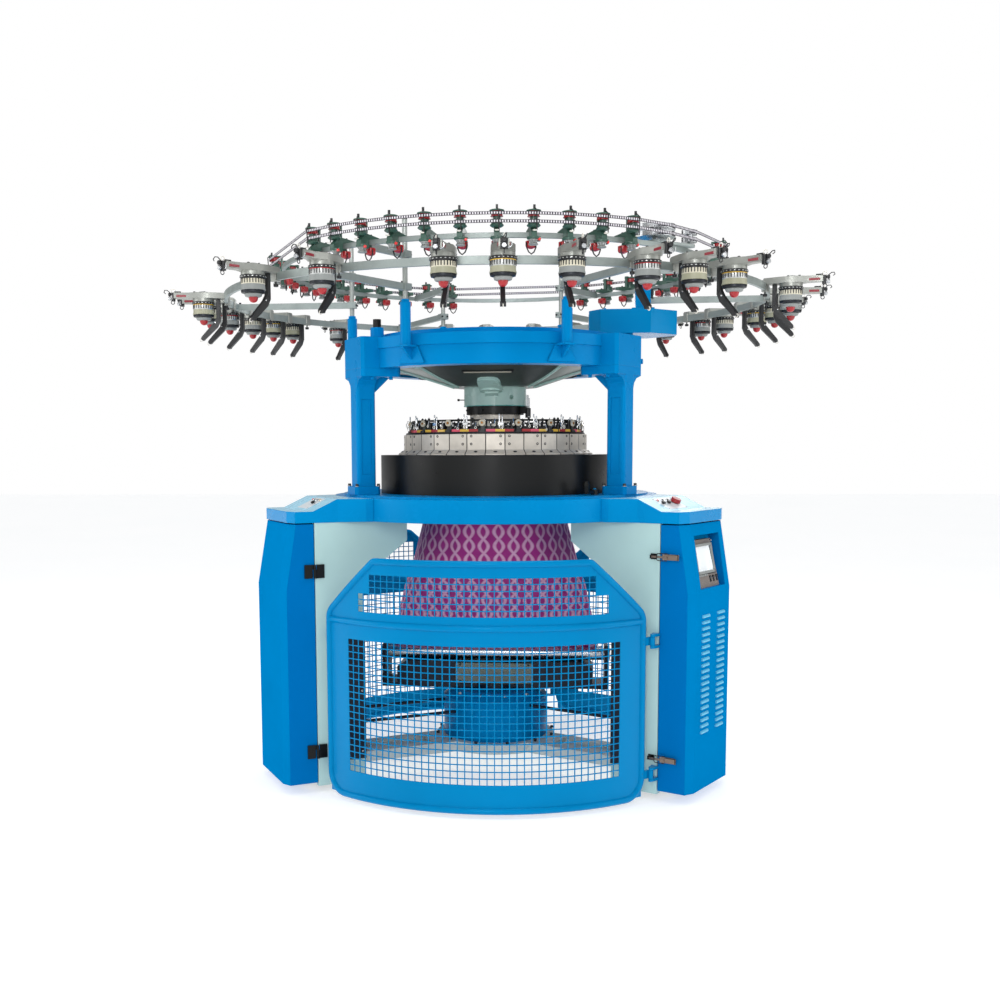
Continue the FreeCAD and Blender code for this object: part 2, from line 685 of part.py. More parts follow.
def hinge_leaves():
    """The fixed black leaf and pin barrel of each cover hinge."""
    leaves = []
    axis = (COVER_START, LEG_HALF_WIDTH + COVER_HINGE_OFFSET)
    for height in COVER_HINGE_HEIGHTS:
        top = height + COVER_HINGE_LEAF[1]
        barrel_top = top - COVER_HINGE_LEAF[1] / 3 - KNUCKLE_PLAY
        plate = box((COVER_START - COVER_KNUCKLE - 2 - COVER_HINGE_LEAF[0], LEG_HALF_WIDTH, height),
                    (COVER_START - COVER_KNUCKLE - 2, LEG_HALF_WIDTH + COVER_HINGE_OFFSET - 3, top))
        barrel = faceted([(COVER_KNUCKLE, height), (COVER_KNUCKLE, barrel_top)], 8, axis)
        web = box((COVER_START - COVER_KNUCKLE - 4, LEG_HALF_WIDTH + 4, height),
                  (COVER_START - 2, LEG_HALF_WIDTH + COVER_HINGE_OFFSET, barrel_top))
        pin = cylinder(COVER_PIN, barrel_top - 1, top, axis)
        leaves.append(joined([plate, web, barrel, pin]))
    return [turned_to(leaf, angle) for angle in LEG_ANGLES for leaf in leaves]


def latch_lever(height):
    """The handle of a toggle latch, lying flat against the cover's flank."""
    surface = -LEG_HALF_WIDTH
    pivot_y = surface - LATCH_STAND_OFF
    barrel = cylinder(5.0, height, height + LATCH_LEVER_HEIGHT, (LATCH_PIVOT, pivot_y))
    outline = [(LATCH_PIVOT, pivot_y - 4), (LATCH_PIVOT + LATCH_LEVER_LENGTH - 12, pivot_y - 1),
               (LATCH_PIVOT + LATCH_LEVER_LENGTH, pivot_y - 8),
               (LATCH_PIVOT + LATCH_LEVER_LENGTH, pivot_y - 3),
               (LATCH_PIVOT + LATCH_LEVER_LENGTH - 10, pivot_y + 4), (LATCH_PIVOT, pivot_y + 4)]
    handle = plan_prism(outline, height, height + LATCH_LEVER_HEIGHT)
    bore = cylinder(2.5, height - 1, height + LATCH_LEVER_HEIGHT + 1, (LATCH_PIVOT, pivot_y))
    return joined([barrel, handle]).cut(bore)


def latch_base(height):
    """The pivot bracket of a latch, riveted to the cover: two ears and a pin."""
    surface = -LEG_HALF_WIDTH
    pivot_y = surface - LATCH_STAND_OFF
    ear = plan_prism([(LATCH_PIVOT - 8, surface + 0.5), (LATCH_PIVOT + 14, surface + 0.5),
                      (LATCH_PIVOT + 5, pivot_y - 5), (LATCH_PIVOT - 5, pivot_y - 5)], 0, 3)
    low = ear.copy()
    low.translate(Vector(0, 0, height - 3 - KNUCKLE_PLAY))
    high = ear.copy()
    high.translate(Vector(0, 0, height + LATCH_LEVER_HEIGHT + KNUCKLE_PLAY))
    pin = cylinder(2.5 - HINGE_CLEARANCE, height - 3, height + LATCH_LEVER_HEIGHT + 3,
                   (LATCH_PIVOT, pivot_y))
    return [low, high, pin]


def latch_hooks():
    """The hook that each latch pulls against, on the grey panel."""
    hooks = []
    for height in LATCH_HEIGHTS:
        middle = height + LATCH_LEVER_HEIGHT / 2
        plate = box((LATCH_HOOK - 12, -LEG_HALF_WIDTH - 3, middle - 11),
                    (LATCH_HOOK + 12, -LEG_HALF_WIDTH, middle + 11))
        hook = side_prism([(LATCH_HOOK - 4, middle - 7), (LATCH_HOOK + 2, middle - 7),
                           (LATCH_HOOK + 2, middle + 7), (LATCH_HOOK - 4, middle + 7)],
                          -LEG_HALF_WIDTH - 16, -LEG_HALF_WIDTH - 2)
        lip = box((LATCH_HOOK - 10, -LEG_HALF_WIDTH - 16, middle - 7),
                  (LATCH_HOOK - 3, -LEG_HALF_WIDTH - 13, middle + 7))
        hooks.append(joined([plate, hook, lip]))
    return [turned_to(hook, angle) for angle in LEG_ANGLES for hook in hooks]


# ---------------------------------------------------------------- guard doors
def door_sheet():
    """The door's sheet, rolled in narrow flats, with its two perforated fields."""
    strips = []
    for index in range(-DOOR_FLATS // 2, DOOR_FLATS // 2):
        middle = (index + 0.5) * DOOR_FLAT_ANGLE
        half = DOOR_RADIUS * math.tan(math.radians(DOOR_FLAT_ANGLE / 2))
        near = DOOR_RADIUS - DOOR_SHEET / 2
        far = DOOR_RADIUS + DOOR_SHEET / 2
        skew = DOOR_SHEET / 2 * math.tan(math.radians(DOOR_FLAT_ANGLE / 2))
        strip = plan_prism([(near, -half + skew), (far, -half - skew), (far, half + skew),
                            (near, half - skew)], DOOR_BOTTOM, DOOR_TOP)
        openings = window_cells(index, half, WINDOW_HALF_FLATS, WINDOW_LOW, WINDOW_LOW_ROWS)
        openings += window_cells(index, half, WINDOW_HIGH_HALF_FLATS, WINDOW_HIGH, WINDOW_HIGH_ROWS)
        if openings:
            strip = strip.cut(openings)
        strips.append(turned_to(strip, middle))
    sheet = joined(strips)
    side = DOOR_RADIUS * math.sin(math.radians(DOOR_HALF_ANGLE))
    top = DOOR_RADIUS * math.sin(math.radians(DOOR_TOP_HALF_ANGLE))
    corner = DOOR_CORNER * 0.4
    outline = [(-side + corner, DOOR_BOTTOM), (side - corner, DOOR_BOTTOM),
               (side, DOOR_BOTTOM + corner), (side, DOOR_SHOULDER), (top, DOOR_TOP),
               (-top, DOOR_TOP), (-side, DOOR_SHOULDER), (-side, DOOR_BOTTOM + corner)]
    inset = DOOR_TUBE / 2
    trimmed = front_prism([(y, min(max(z, DOOR_BOTTOM + inset), DOOR_TOP - inset)) for y, z in outline],
                          DOOR_RADIUS * 0.6, DOOR_RADIUS + 20)
    return sheet.common(trimmed)


def window_cells(index, half, half_count, span, rows):
    """Openings of one flat, where the flat belongs to a perforated field."""
    if not -half_count <= index < half_count:
        return []
    pitch = (span[1] - span[0]) / rows
    cells = []
    for row in range(rows):
        low = span[0] + row * pitch + MESH_BAR / 2
        cells.append(box((DOOR_RADIUS - 20, -half + MESH_BAR / 2, low),
                         (DOOR_RADIUS + 20, half - MESH_BAR / 2, low + pitch - MESH_BAR)))
    return cells


def door_rail(height, half_angle):
    """A rail of the door frame: an eight-sided bar that follows the flats of the sheet."""
    sections = []
    count = 2 * math.ceil(half_angle / DOOR_FLAT_ANGLE)
    for index in range(count + 1):
        angle = (index - count / 2) * DOOR_FLAT_ANGLE
        radius = DOOR_RADIUS / math.cos(math.radians(DOOR_FLAT_ANGLE / 2))
        if abs(angle) > half_angle:
            past = abs(angle) - half_angle
            angle = math.copysign(half_angle, angle)
            radius = DOOR_RADIUS / math.cos(math.radians(abs(DOOR_FLAT_ANGLE / 2 - past)))
        sections.append([polar(radius + across, angle, height + up) for across, up in tube_octagon()])
    return flat_sided(sections)


def tube_octagon():
    corners = []
    for index in range(8):
        turn = math.pi / 4 * (index + 0.5)
        corners.append((DOOR_TUBE / 2 * math.cos(turn), DOOR_TUBE / 2 * math.sin(turn)))
    return corners


def door_stile(side):
    """A side of the door frame: up from the round corner, bent in at the shoulder to the top rail."""
    low = DOOR_BOTTOM + DOOR_TUBE / 2
    high = DOOR_TOP - DOOR_TUBE / 2
    edge = DOOR_HALF_ANGLE
    top = DOOR_TOP_HALF_ANGLE
    cut = math.degrees(DOOR_CORNER / DOOR_RADIUS)
    path = [(edge - cut, low), (edge - cut * 0.55, low + DOOR_CORNER * 0.09),
            (edge - cut * 0.18, low + DOOR_CORNER * 0.42), (edge, low + DOOR_CORNER),
            (edge, DOOR_SHOULDER - 18), (edge - 0.9, DOOR_SHOULDER + 10),
            ((edge + top) / 2, (DOOR_SHOULDER + high) / 2), (top + 2.2, high - 20), (top + 0.8, high - 5),
            (top - 1.4, high)]
    sections = []
    for index, (angle, height) in enumerate(path):
        before = path[max(index - 1, 0)]
        after = path[min(index + 1, len(path) - 1)]
        run = math.radians(after[0] - before[0]) * DOOR_RADIUS
        rise = after[1] - before[1]
        length = math.hypot(run, rise)
        point = polar(DOOR_RADIUS, side * angle, height)
        outward = polar(1, side * angle)
        along = Vector(-outward.y, outward.x, 0) * side
        sideways = along * (rise / length) + UP * (-run / length)
        sections.append([point + outward * across + sideways * up for across, up in tube_octagon()])
    return flat_sided(sections)


def guard_door():
    """A guard door: bent tube frame, curved sheet with perforated fields and hinge knuckles."""
    low = DOOR_BOTTOM + DOOR_TUBE / 2
    high = DOOR_TOP - DOOR_TUBE / 2
    corner = math.degrees(DOOR_CORNER / DOOR_RADIUS)
    frame = [door_rail(low, DOOR_HALF_ANGLE - corner + 0.4), door_rail(DOOR_MID, DOOR_HALF_ANGLE),
             door_rail(high, DOOR_TOP_HALF_ANGLE - 1.0), door_stile(-1), door_stile(1)]
    axis = polar(DOOR_HINGE_RADIUS, DOOR_HINGE_ANGLE)
    stile = polar(DOOR_RADIUS, DOOR_HALF_ANGLE)
    across = (axis - stile).normalize()
    normal = Vector(-across.y, across.x, 0) * 4
    plan = [(point.x, point.y) for point in (stile + normal, axis + normal, axis - normal, stile - normal)]
    knuckles = []
    bores = []
    for height in DOOR_HINGE_HEIGHTS:
        end = height + KNUCKLE_LENGTH
        knuckles.append(faceted([(HINGE_KNUCKLE, height), (HINGE_KNUCKLE, end)], 12, (axis.x, axis.y)))
        knuckles.append(plan_prism(plan, height, end))
        bores.append(cylinder(HINGE_PIN + HINGE_CLEARANCE, height - 1, end + 1, (axis.x, axis.y)))
    return joined([door_sheet()] + frame + knuckles).cut(bores)


def door_brackets():
    """On each panel, the ears and pin that carry a door, and the stop that it closes on."""
    brackets = []
    for door_angle in DOOR_ANGLES:
        axis = polar(DOOR_HINGE_RADIUS, DOOR_HINGE_ANGLE)
        for height in DOOR_HINGE_HEIGHTS:
            low = height - KNUCKLE_PLAY - HINGE_EAR
            high = height + KNUCKLE_LENGTH + KNUCKLE_PLAY
            ears = []
            for bottom in (low, high):
                ears.append(bracket_ear(axis, bottom, bottom + HINGE_EAR))
            pin = cylinder(HINGE_PIN, low, high + HINGE_EAR, (axis.x, axis.y))
            brackets.append(turned_to(joined(ears + [pin]), door_angle))
        stop_low = DOOR_HINGE_HEIGHTS[0] + 6
        for height in (stop_low, DOOR_HINGE_HEIGHTS[1]):
            brackets.append(turned_to(door_stop(height), door_angle))
    return brackets


def panel_frame(side):
    """Along and outward directions of the leg flank beside a door, in the door's own frame."""
    leg = side * 60.0
    along = polar(1, leg)
    outward = Vector(-along.y, along.x, 0) * -side
    return along, outward


def bracket_ear(axis, low, high):
    along, outward = panel_frame(1)
    depth = axis.dot(outward) - LEG_HALF_WIDTH
    foot = axis - outward * depth
    half = HINGE_KNUCKLE
    plan = [foot - along * half * 1.6, foot + along * half * 1.6, axis + along * half,
            axis + along * half * 0.4 + outward * half, axis - along * half * 0.4 + outward * half,
            axis - along * half]
    return plan_prism([(point.x, point.y) for point in plan], low, high)


def door_stop(height):
    """A small angle on the far panel that the closed door rests against."""
    along, outward = panel_frame(-1)
    touch = polar(DOOR_RADIUS, -DOOR_HALF_ANGLE)
    reach = touch.dot(outward) - LEG_HALF_WIDTH
    foot = touch - outward * reach
    inner = DOOR_TUBE / 2 + 0.3
    plan = [foot - along * (inner + 10), foot - along * inner,
            touch - along * inner, touch - along * (inner + 10)]
    return plan_prism([(point.x, point.y) for point in plan], height, height + 40)


# ---------------------------------------------------------------- bed, columns and bridge
def bed_plate():
    """The round bed casting: bore for the cloth, turned seat for the head and the columns."""
    return revolved([(BED_BORE, BED_BOTTOM), (BED_RADIUS, BED_BOTTOM), (BED_RADIUS, BED_TOP),
                     (SEAT_RADIUS, BED_TOP), (SEAT_RADIUS, SEAT_TOP), (BED_BORE, SEAT_TOP),
                     (BED_BORE, RACE_TOP), (CYLINDER_RADIUS + RACE_GAP, RACE_TOP),
                     (CYLINDER_RADIUS + RACE_GAP, RACE_TOP - RACE_HEIGHT), (BED_BORE, RACE_TOP - RACE_HEIGHT)])


def column():
    """A cast column: bolted foot, panelled shaft and a gusseted head slab that carries a bridge block."""
    half = COLUMN_WIDTH / 2
    centre = (COLUMN_CIRCLE, 0)
    foot_top = COLUMN_BOTTOM + COLUMN_FOOT_HEIGHT
    head_bottom = BRIDGE_BOTTOM - COLUMN_HEAD_HEIGHT
    foot = chamfered_bar(COLUMN_FOOT / 2, COLUMN_FOOT / 2, 12, COLUMN_BOTTOM, foot_top, centre)
    shaft = rounded_bar(half, half, 14, foot_top, head_bottom, centre)
    for side in (-1, 1):
        panel = box((COLUMN_CIRCLE - half * 0.5, min(side * (half - 4), side * (half + 1)),
                     foot_top + 50),
                    (COLUMN_CIRCLE + half * 0.5, max(side * (half - 4), side * (half + 1)),
                     head_bottom - 90))
        shaft = shaft.cut(panel)
    sections = []
    for share, drop in ((0.0, 1.0), (0.12, 0.55), (0.42, 0.2), (1.0, 0.0)):
        spread = half - 6 + share * (COLUMN_HEAD_HALF - half)
        sections.append([Vector(COLUMN_CIRCLE + along * (half - 3), across * spread,
                                head_bottom - drop * COLUMN_FLARE_HEIGHT)
                         for along, across in ((-1, -1), (1, -1), (1, 1), (-1, 1))])
    gusset = side_prism([(COLUMN_CIRCLE - half + 4, head_bottom - 70), (COLUMN_CIRCLE, head_bottom + 2),
                         (COLUMN_HEAD_REACH + 16, head_bottom + 2)], -14, 14)
    reach = (COLUMN_CIRCLE + half - COLUMN_HEAD_REACH) / 2
    head = chamfered_bar(reach, COLUMN_HEAD_HALF, 12, head_bottom, BRIDGE_BOTTOM,
                         (COLUMN_HEAD_REACH + reach, 0))
    return joined([foot, shaft, flat_sided(sections), gusset, head])


def bridge_ring():
    """The upper ring casting: raised inner rim, a block over each column, pads for the creel posts."""
    lip = BRIDGE_RADIUS + BRIDGE_LIP
    rim = BRIDGE_BORE + BRIDGE_RIM[0]
    rim_top = BRIDGE_TOP + BRIDGE_RIM[1]
    body = revolved([(BRIDGE_BORE, BRIDGE_BOTTOM), (BRIDGE_RADIUS, BRIDGE_BOTTOM),
                     (BRIDGE_RADIUS, BRIDGE_TOP - BRIDGE_LIP_HEIGHT), (lip, BRIDGE_TOP - BRIDGE_LIP_HEIGHT),
                     (lip, BRIDGE_TOP), (rim, BRIDGE_TOP), (rim, rim_top), (BRIDGE_BORE, rim_top)])
    reach = (COLUMN_CIRCLE + COLUMN_WIDTH / 2 - BLOCK_INNER) / 2
    block = chamfered_bar(reach, COLUMN_HEAD_HALF, 12, BRIDGE_BOTTOM, BLOCK_TOP, (BLOCK_INNER + reach, 0))
    pad = box((rim - 1, -70, BRIDGE_TOP - 1), (POST_CIRCLE_ON_TOP + 32, 70, BLOCK_TOP))
    return joined([body] + around(block, LEG_ANGLES) + around(pad, TOP_POST_ANGLES + (PILLAR_ANGLE,)))


def dial_dish():
    """The spider that hangs the dial drive from the bridge: a hub, a ribbed cone and a flange."""
    low = DIAL_HOUSING_TOP + SEATED
    rim_low = low + DISH_RISE
    dish = revolved([(DIAL_BORE, low), (DISH_HUB_RADIUS, low), (DISH_TIP_RADIUS, rim_low),
                     (BRIDGE_BORE - SEATED, rim_low), (BRIDGE_BORE - SEATED, rim_low + DISH_WALL),
                     (DISH_TIP_RADIUS - DISH_WALL, rim_low + DISH_WALL),
                     (DISH_HUB_RADIUS - DISH_WALL, low + DISH_WALL), (DIAL_BORE, low + DISH_WALL)])
    rib = side_prism([(DIAL_BORE + 20, low + 6), (DISH_HUB_RADIUS, low + 6),
                      (DISH_TIP_RADIUS, rim_low + 6), (BRIDGE_BORE - 30, rim_low + 6),
                      (DISH_TIP_RADIUS, rim_low + 60), (DIAL_BORE + 20, low + 110)], -7, 7)
    return joined([dish] + around(rib, even_angles(DISH_RIB_COUNT, 30)))


def dial_housing():
    """The fixed dial cam carrier under the spider, with its front boss."""
    bottom = DIAL_HOUSING_TOP - DIAL_HOUSING_HEIGHT
    body = ring(DIAL_BORE, DIAL_HOUSING_RADIUS, bottom, DIAL_HOUSING_TOP)
    boss = side_prism([(DIAL_HOUSING_RADIUS - 8, DIAL_HOUSING_TOP - 46),
                       (DIAL_HOUSING_RADIUS + 16, DIAL_HOUSING_TOP - 30),
                       (DIAL_HOUSING_RADIUS + 16, DIAL_HOUSING_TOP),
                       (DIAL_HOUSING_RADIUS - 8, DIAL_HOUSING_TOP)], -28, 28)
    sight = Part.makeCylinder(9, 20, polar(DIAL_HOUSING_RADIUS + 2, -55, bottom + 36), polar(-1, -55))
    return body.fuse(turned_to(boss, -92)).cut(sight)


def clamp_ring():
    top = DIAL_HOUSING_TOP - DIAL_HOUSING_HEIGHT - SEATED
    bottom = top - CLAMP_RING_HEIGHT
    body = ring(DIAL_BORE, CLAMP_RING_RADIUS, bottom, top)
    lug = box((CLAMP_RING_RADIUS - 6, -14, bottom + 4), (CLAMP_RING_RADIUS + 26, 14, top))
    return body.fuse(turned_to(lug, -20))


def skirt_guard():
    """The black sheet guard round the cylinder drive, open at the bottom, with a top rim."""
    outer = SKIRT_RADIUS
    inner = outer - SKIRT_SHEET
    rim = CAM_RADIUS + CAM_FLARE + SEATED
    return revolved([(inner, SKIRT_BOTTOM), (outer, SKIRT_BOTTOM), (outer, SKIRT_TOP), (rim, SKIRT_TOP),
                     (rim, SKIRT_TOP - SKIRT_SHEET), (inner, SKIRT_TOP - SKIRT_SHEET)])


def cylinder_support():
    """The fixed saddle ring inside the guard that carries the cam boxes."""
    inner = CYLINDER_RADIUS + SADDLE_CLEARANCE
    wall = CAM_RADIUS + CAM_FLARE
    return revolved([(inner, SEAT_TOP + SEATED), (BED_BORE + SADDLE_SEAT, SEAT_TOP + SEATED),
                     (BED_BORE + SADDLE_SEAT, SEAT_TOP + 22), (wall, SEAT_TOP + 40),
                     (wall, CAM_BOTTOM - SEATED), (inner, CAM_BOTTOM - SEATED)])


def cam_box():
    """One cam box of the cylinder: upright face, flared foot flange."""
    profile = [(CAM_INNER, CAM_BOTTOM), (CAM_RADIUS + CAM_FLARE, CAM_BOTTOM),
               (CAM_RADIUS + CAM_FLARE, CAM_BOTTOM + 5), (CAM_RADIUS, CAM_BOTTOM + CAM_FLARE_HEIGHT),
               (CAM_RADIUS, CAM_TOP), (CAM_INNER, CAM_TOP)]
    half = 180.0 / CAM_COUNT - math.degrees(CAM_JOINT / 2 / CAM_RADIUS)
    stretch = 1 / math.cos(math.radians(half))
    ends = [[polar(radius * stretch, turn, height) for radius, height in profile]
            for turn in (-half, half)]
    return flat_sided(ends)


def yarn_guide_ring():
    """The ring of yarn carriers that stands on the cam boxes."""
    outer = GUIDE_RING_RADIUS + GUIDE_RING_WIDTH / 2
    inner = GUIDE_RING_RADIUS - GUIDE_RING_WIDTH / 2
    body = ring(inner, outer, GUIDE_RING_HEIGHT, GUIDE_RING_HEIGHT + GUIDE_RING_BAR)
    half = GUIDE_POST / 2
    post = box((GUIDE_RING_RADIUS - half, -half, CAM_TOP), (GUIDE_RING_RADIUS + half, half,
                                                            GUIDE_RING_HEIGHT + 1))
    finger = side_prism([(GUIDE_RING_RADIUS - 4, GUIDE_RING_HEIGHT + 6),
                         (GUIDE_RING_RADIUS + 4, GUIDE_RING_HEIGHT + 6),
                         (GUIDE_RING_RADIUS + 2, GUIDE_RING_HEIGHT + 42),
                         (GUIDE_RING_RADIUS - 5, GUIDE_RING_HEIGHT + 42)], -5, 5)
    posts = around(post, even_angles(GUIDE_POST_COUNT, 14))
    return joined([body] + posts + around(finger, even_angles(GUIDE_POST_COUNT, 3)))


def needle_cylinder():
    """The rotating needle cylinder, with the gear rim that runs in the bed."""
    outer = CYLINDER_RADIUS
    inner = outer - CYLINDER_WALL
    gear_bottom = RACE_TOP + SEATED
    return revolved([(inner, RACE_TOP - 60), (outer, RACE_TOP - 60), (outer, gear_bottom),
                     (outer + GEAR_RIM, gear_bottom), (outer + GEAR_RIM, gear_bottom + GEAR_HEIGHT),
                     (outer, gear_bottom + GEAR_HEIGHT), (outer, CAM_TOP), (inner, CAM_TOP)])


def needle_dial():
    """The rotating dial inside the cylinder's mouth, on its own hollow shaft."""
    bottom = CAM_TOP - DIAL_THICKNESS
    clamp_bottom = DIAL_HOUSING_TOP - DIAL_HOUSING_HEIGHT - SEATED - CLAMP_RING_HEIGHT
    rim = CYLINDER_RADIUS - CYLINDER_WALL - DIAL_GAP
    return revolved([(0, bottom), (rim, bottom), (rim, CAM_TOP), (DIAL_NECK, CAM_TOP + 22),
                     (DIAL_NECK, clamp_bottom - SEATED), (DIAL_SHAFT, clamp_bottom - SEATED),
                     (DIAL_SHAFT, DIAL_HOUSING_TOP - 20), (0, DIAL_HOUSING_TOP - 20)])


# ---------------------------------------------------------------- creel
def post_sockets():
    """Blue sockets: brackets on the bridge's face in front, plain sockets on its pads elsewhere."""
    sockets = []
    bore = POST_DIAMETER / 2 + SEATED
    for angle in OUTSIDE_POST_ANGLES:
        place = (post_radius(angle), 0)
        back = BRIDGE_RADIUS + SEATED
        tube = cylinder(SOCKET_DIAMETER / 2, SHELF_TOP - 1, SOCKET_TOP, place)
        hole = cylinder(bore, SHELF_TOP + SOCKET_FLOOR, SOCKET_TOP + 1, place)
        plate = flat_sided([[Vector(depth, across, height) for across, height in
                             ((-64, BRIDGE_BOTTOM + 8), (64, BRIDGE_BOTTOM + 8), (30, SHELF_TOP), (-30, SHELF_TOP))]
                            for depth in (back, back + 6)])
        gusset = side_prism([(back + 5, BRIDGE_BOTTOM + 20), (back + 5, SHELF_TOP - 7),
                             (place[0] + 26, SHELF_TOP - 7)], -5, 5)
        shelf = box((back + 5, -28, SHELF_TOP - 8), (place[0] + 28, 28, SHELF_TOP))
        sockets.append(turned_to(joined([plate, gusset, shelf, tube]).cut(hole), angle))
    for angle in TOP_POST_ANGLES:
        place = (POST_CIRCLE_ON_TOP, 0)
        tube = cylinder(SOCKET_DIAMETER / 2, BLOCK_TOP, SOCKET_TOP - 40, place)
        flange = box((place[0] - 34, -34, BLOCK_TOP), (place[0] + 34, 34, BLOCK_TOP + 8))
        hole = cylinder(bore, BLOCK_TOP + SOCKET_FLOOR, SOCKET_TOP, place)
        sockets.append(turned_to(tube.fuse(flange).cut(hole), angle))
    return sockets


def creel_posts():
    """The steel rods that carry both feeder rings."""
    posts = []
    for angle in OUTSIDE_POST_ANGLES + TOP_POST_ANGLES:
        seat = SHELF_TOP if angle in OUTSIDE_POST_ANGLES else BLOCK_TOP
        post = cylinder(POST_DIAMETER / 2, seat + SOCKET_FLOOR, POST_TOP, (post_radius(angle), 0))
        posts.append(turned_to(post, angle))
    return posts


def post_radius(angle):
    return POST_CIRCLE_OUTSIDE if angle in OUTSIDE_POST_ANGLES else POST_CIRCLE_ON_TOP


def ring_spokes():
    """Flat bars with a split clamp on each post, one to the outer and one to the inner ring."""
    spokes = []
    for angle in OUTSIDE_POST_ANGLES + TOP_POST_ANGLES:
        place = post_radius(angle)
        for radius, height, bar in ((OUTER_RING_RADIUS, OUTER_RING_HEIGHT, OUTER_RING_BAR),
                                    (INNER_RING_RADIUS, INNER_RING_HEIGHT, INNER_RING_BAR)):
            end = radius - bar[0] / 2 - 0.3
            half = SPOKE_BAR[0] / 2
            low = height - SPOKE_BAR[1] / 2
            high = height + SPOKE_BAR[1] / 2
            arm = box((place, -half, low), (end, half, high))
            reach = POST_DIAMETER / 2 + 9
            clamp = box((place - reach, -reach, low), (place + reach, reach, high))
            hole = faceted([(CLAMP_BORE, low - 1), (CLAMP_BORE, high + 1)], 12, (place, 0))
            spokes.append(turned_to(arm.fuse(clamp).cut(hole), angle))
    half = SPOKE_BAR[0] / 2
    start = PILLAR_PLACE + PILLAR_WIDTH / 2 + 0.3
    for radius, height, bar in ((OUTER_RING_RADIUS, OUTER_RING_HEIGHT, OUTER_RING_BAR),
                                (INNER_RING_RADIUS, INNER_RING_HEIGHT, INNER_RING_BAR)):
        arm = box((start, -half, height - SPOKE_BAR[1] / 2),
                  (radius - bar[0] / 2 - 0.3, half, height + SPOKE_BAR[1] / 2))
        spokes.append(turned_to(arm, PILLAR_ANGLE))
    return spokes


def feeder_ring(radius, height, bar):
    return ring(radius - bar[0] / 2, radius + bar[0] / 2, height - bar[1] / 2, height + bar[1] / 2)


def storage_housing():
    """The motor case of a storage feeder: waisted in plan, with a tensioner nose."""
    start = OUTER_RING_RADIUS - OUTER_RING_BAR[0] / 2
    bottom = OUTER_RING_TOP + 0.3
    top = bottom + STORAGE_HOUSING_HEIGHT
    end = start + STORAGE_HOUSING_LENGTH
    half = STORAGE_HOUSING_HALF
    outline = [(start, -20), (STORAGE_AXIS - 30, -half), (STORAGE_AXIS + 24, -half),
               (STORAGE_AXIS + 56, -19), (end, -16), (end, 16), (STORAGE_AXIS + 56, 19),
               (STORAGE_AXIS + 24, half), (STORAGE_AXIS - 30, half), (start, 20)]
    return plan_prism(outline, bottom, top)


def storage_drum():
    """The yarn drum: slotted top band, waist groove and the cone at its foot."""
    top = OUTER_RING_TOP
    bottom = top - STORAGE_DRUM_HEIGHT
    radius = STORAGE_DRUM_RADIUS
    return faceted([(radius, top), (radius - 9, bottom), (STORAGE_CONE_RADIUS, bottom - 1),
                    (STORAGE_CONE_RADIUS * 0.4, bottom - STORAGE_CONE_HEIGHT)], 8, (STORAGE_AXIS, 0))


def storage_arm():
    """The black bow of a storage feeder: down beside the drum, then out under it to the eyelet."""
    top = OUTER_RING_TOP + 0.3
    inner = STORAGE_AXIS - STORAGE_DRUM_RADIUS - 20
    knee = top - STORAGE_ARM_DROP * 0.52
    tip = top - STORAGE_ARM_DROP
    outline = [(inner, top), (inner + 14, top), (inner + 13, knee + 4),
               (inner + STORAGE_ARM_REACH + 6, tip + 4), (inner + STORAGE_ARM_REACH - 4, tip - 6),
               (inner - 3, knee - 4)]
    return side_prism(outline, -7, 7)


def feeder_angles():
    angles = []
    for centre in FEEDER_SECTOR_ANGLES:
        for index in range(FEEDERS_PER_SECTOR):
            angles.append(centre + (index - (FEEDERS_PER_SECTOR - 1) / 2) * FEEDER_PITCH)
    return angles


def feeder_body():
    """The bracket of a positive feeder: clamp over the inner ring, back, and two pulley arms."""
    saddle = INNER_RING_TOP + SEATED
    drop = saddle - FEEDER_DROP
    inner = INNER_RING_RADIUS - 40
    back = PULLEY_CIRCLE - PULLEY_RADIUS - 4
    nose = PULLEY_CIRCLE + 14
    top = UPPER_BELT_HEIGHT + PULLEY_HEIGHT / 2 + SEATED
    low = LOWER_BELT_HEIGHT - PULLEY_HEIGHT / 2 - SEATED
    outline = [(inner, saddle), (back - 8, saddle), (back - 8, drop), (nose, drop),
               (nose, low), (back, low), (back, top), (nose, top), (nose, top + 9),
               (back - 14, top + 9), (inner, saddle + 20)]
    return side_prism(outline, -FEEDER_WIDTH / 2, FEEDER_WIDTH / 2)


def feeder_pulley(height):
    half = PULLEY_HEIGHT / 2
    return faceted([(PULLEY_RADIUS - 0.5, height - half), (PULLEY_RADIUS - 0.5, height + half)],
                   PULLEY_SIDES, (PULLEY_CIRCLE, 0))


def feed_wheel():
    top = INNER_RING_TOP - FEEDER_DROP
    return faceted([(FEED_WHEEL_RADIUS, top), (FEED_WHEEL_RADIUS * 0.6, top - FEED_WHEEL_HEIGHT)], 6,
                   (PULLEY_CIRCLE - 4, 0))


def feed_belt(height):
    """A toothed tape that runs straight from pulley to pulley round the creel."""
    route = []
    for index, angle in enumerate(feeder_angles()):
        at_end = index % FEEDERS_PER_SECTOR in (0, FEEDERS_PER_SECTOR - 1)
        route.append((angle, PULLEY_CIRCLE + PULLEY_RADIUS + (BELT_END_LIFT if at_end else 0.0)))
    route.append((QUALITY_WHEEL_ANGLE, QUALITY_WHEEL_CIRCLE + QUALITY_WHEEL_RADIUS + BELT_LIFT))
    route.append((IDLER_ANGLE, IDLER_CIRCLE + IDLER_RADIUS + BELT_LIFT))
    route.sort()
    walls = []
    for grow in (SEATED, SEATED + BELT_THICKNESS):
        corners = [polar(radius + grow, angle, height - BELT_WIDTH / 2) for angle, radius in route]
        walls.append(face_of(corners))
    return walls[1].cut(walls[0]).extrude(Vector(0, 0, BELT_WIDTH))


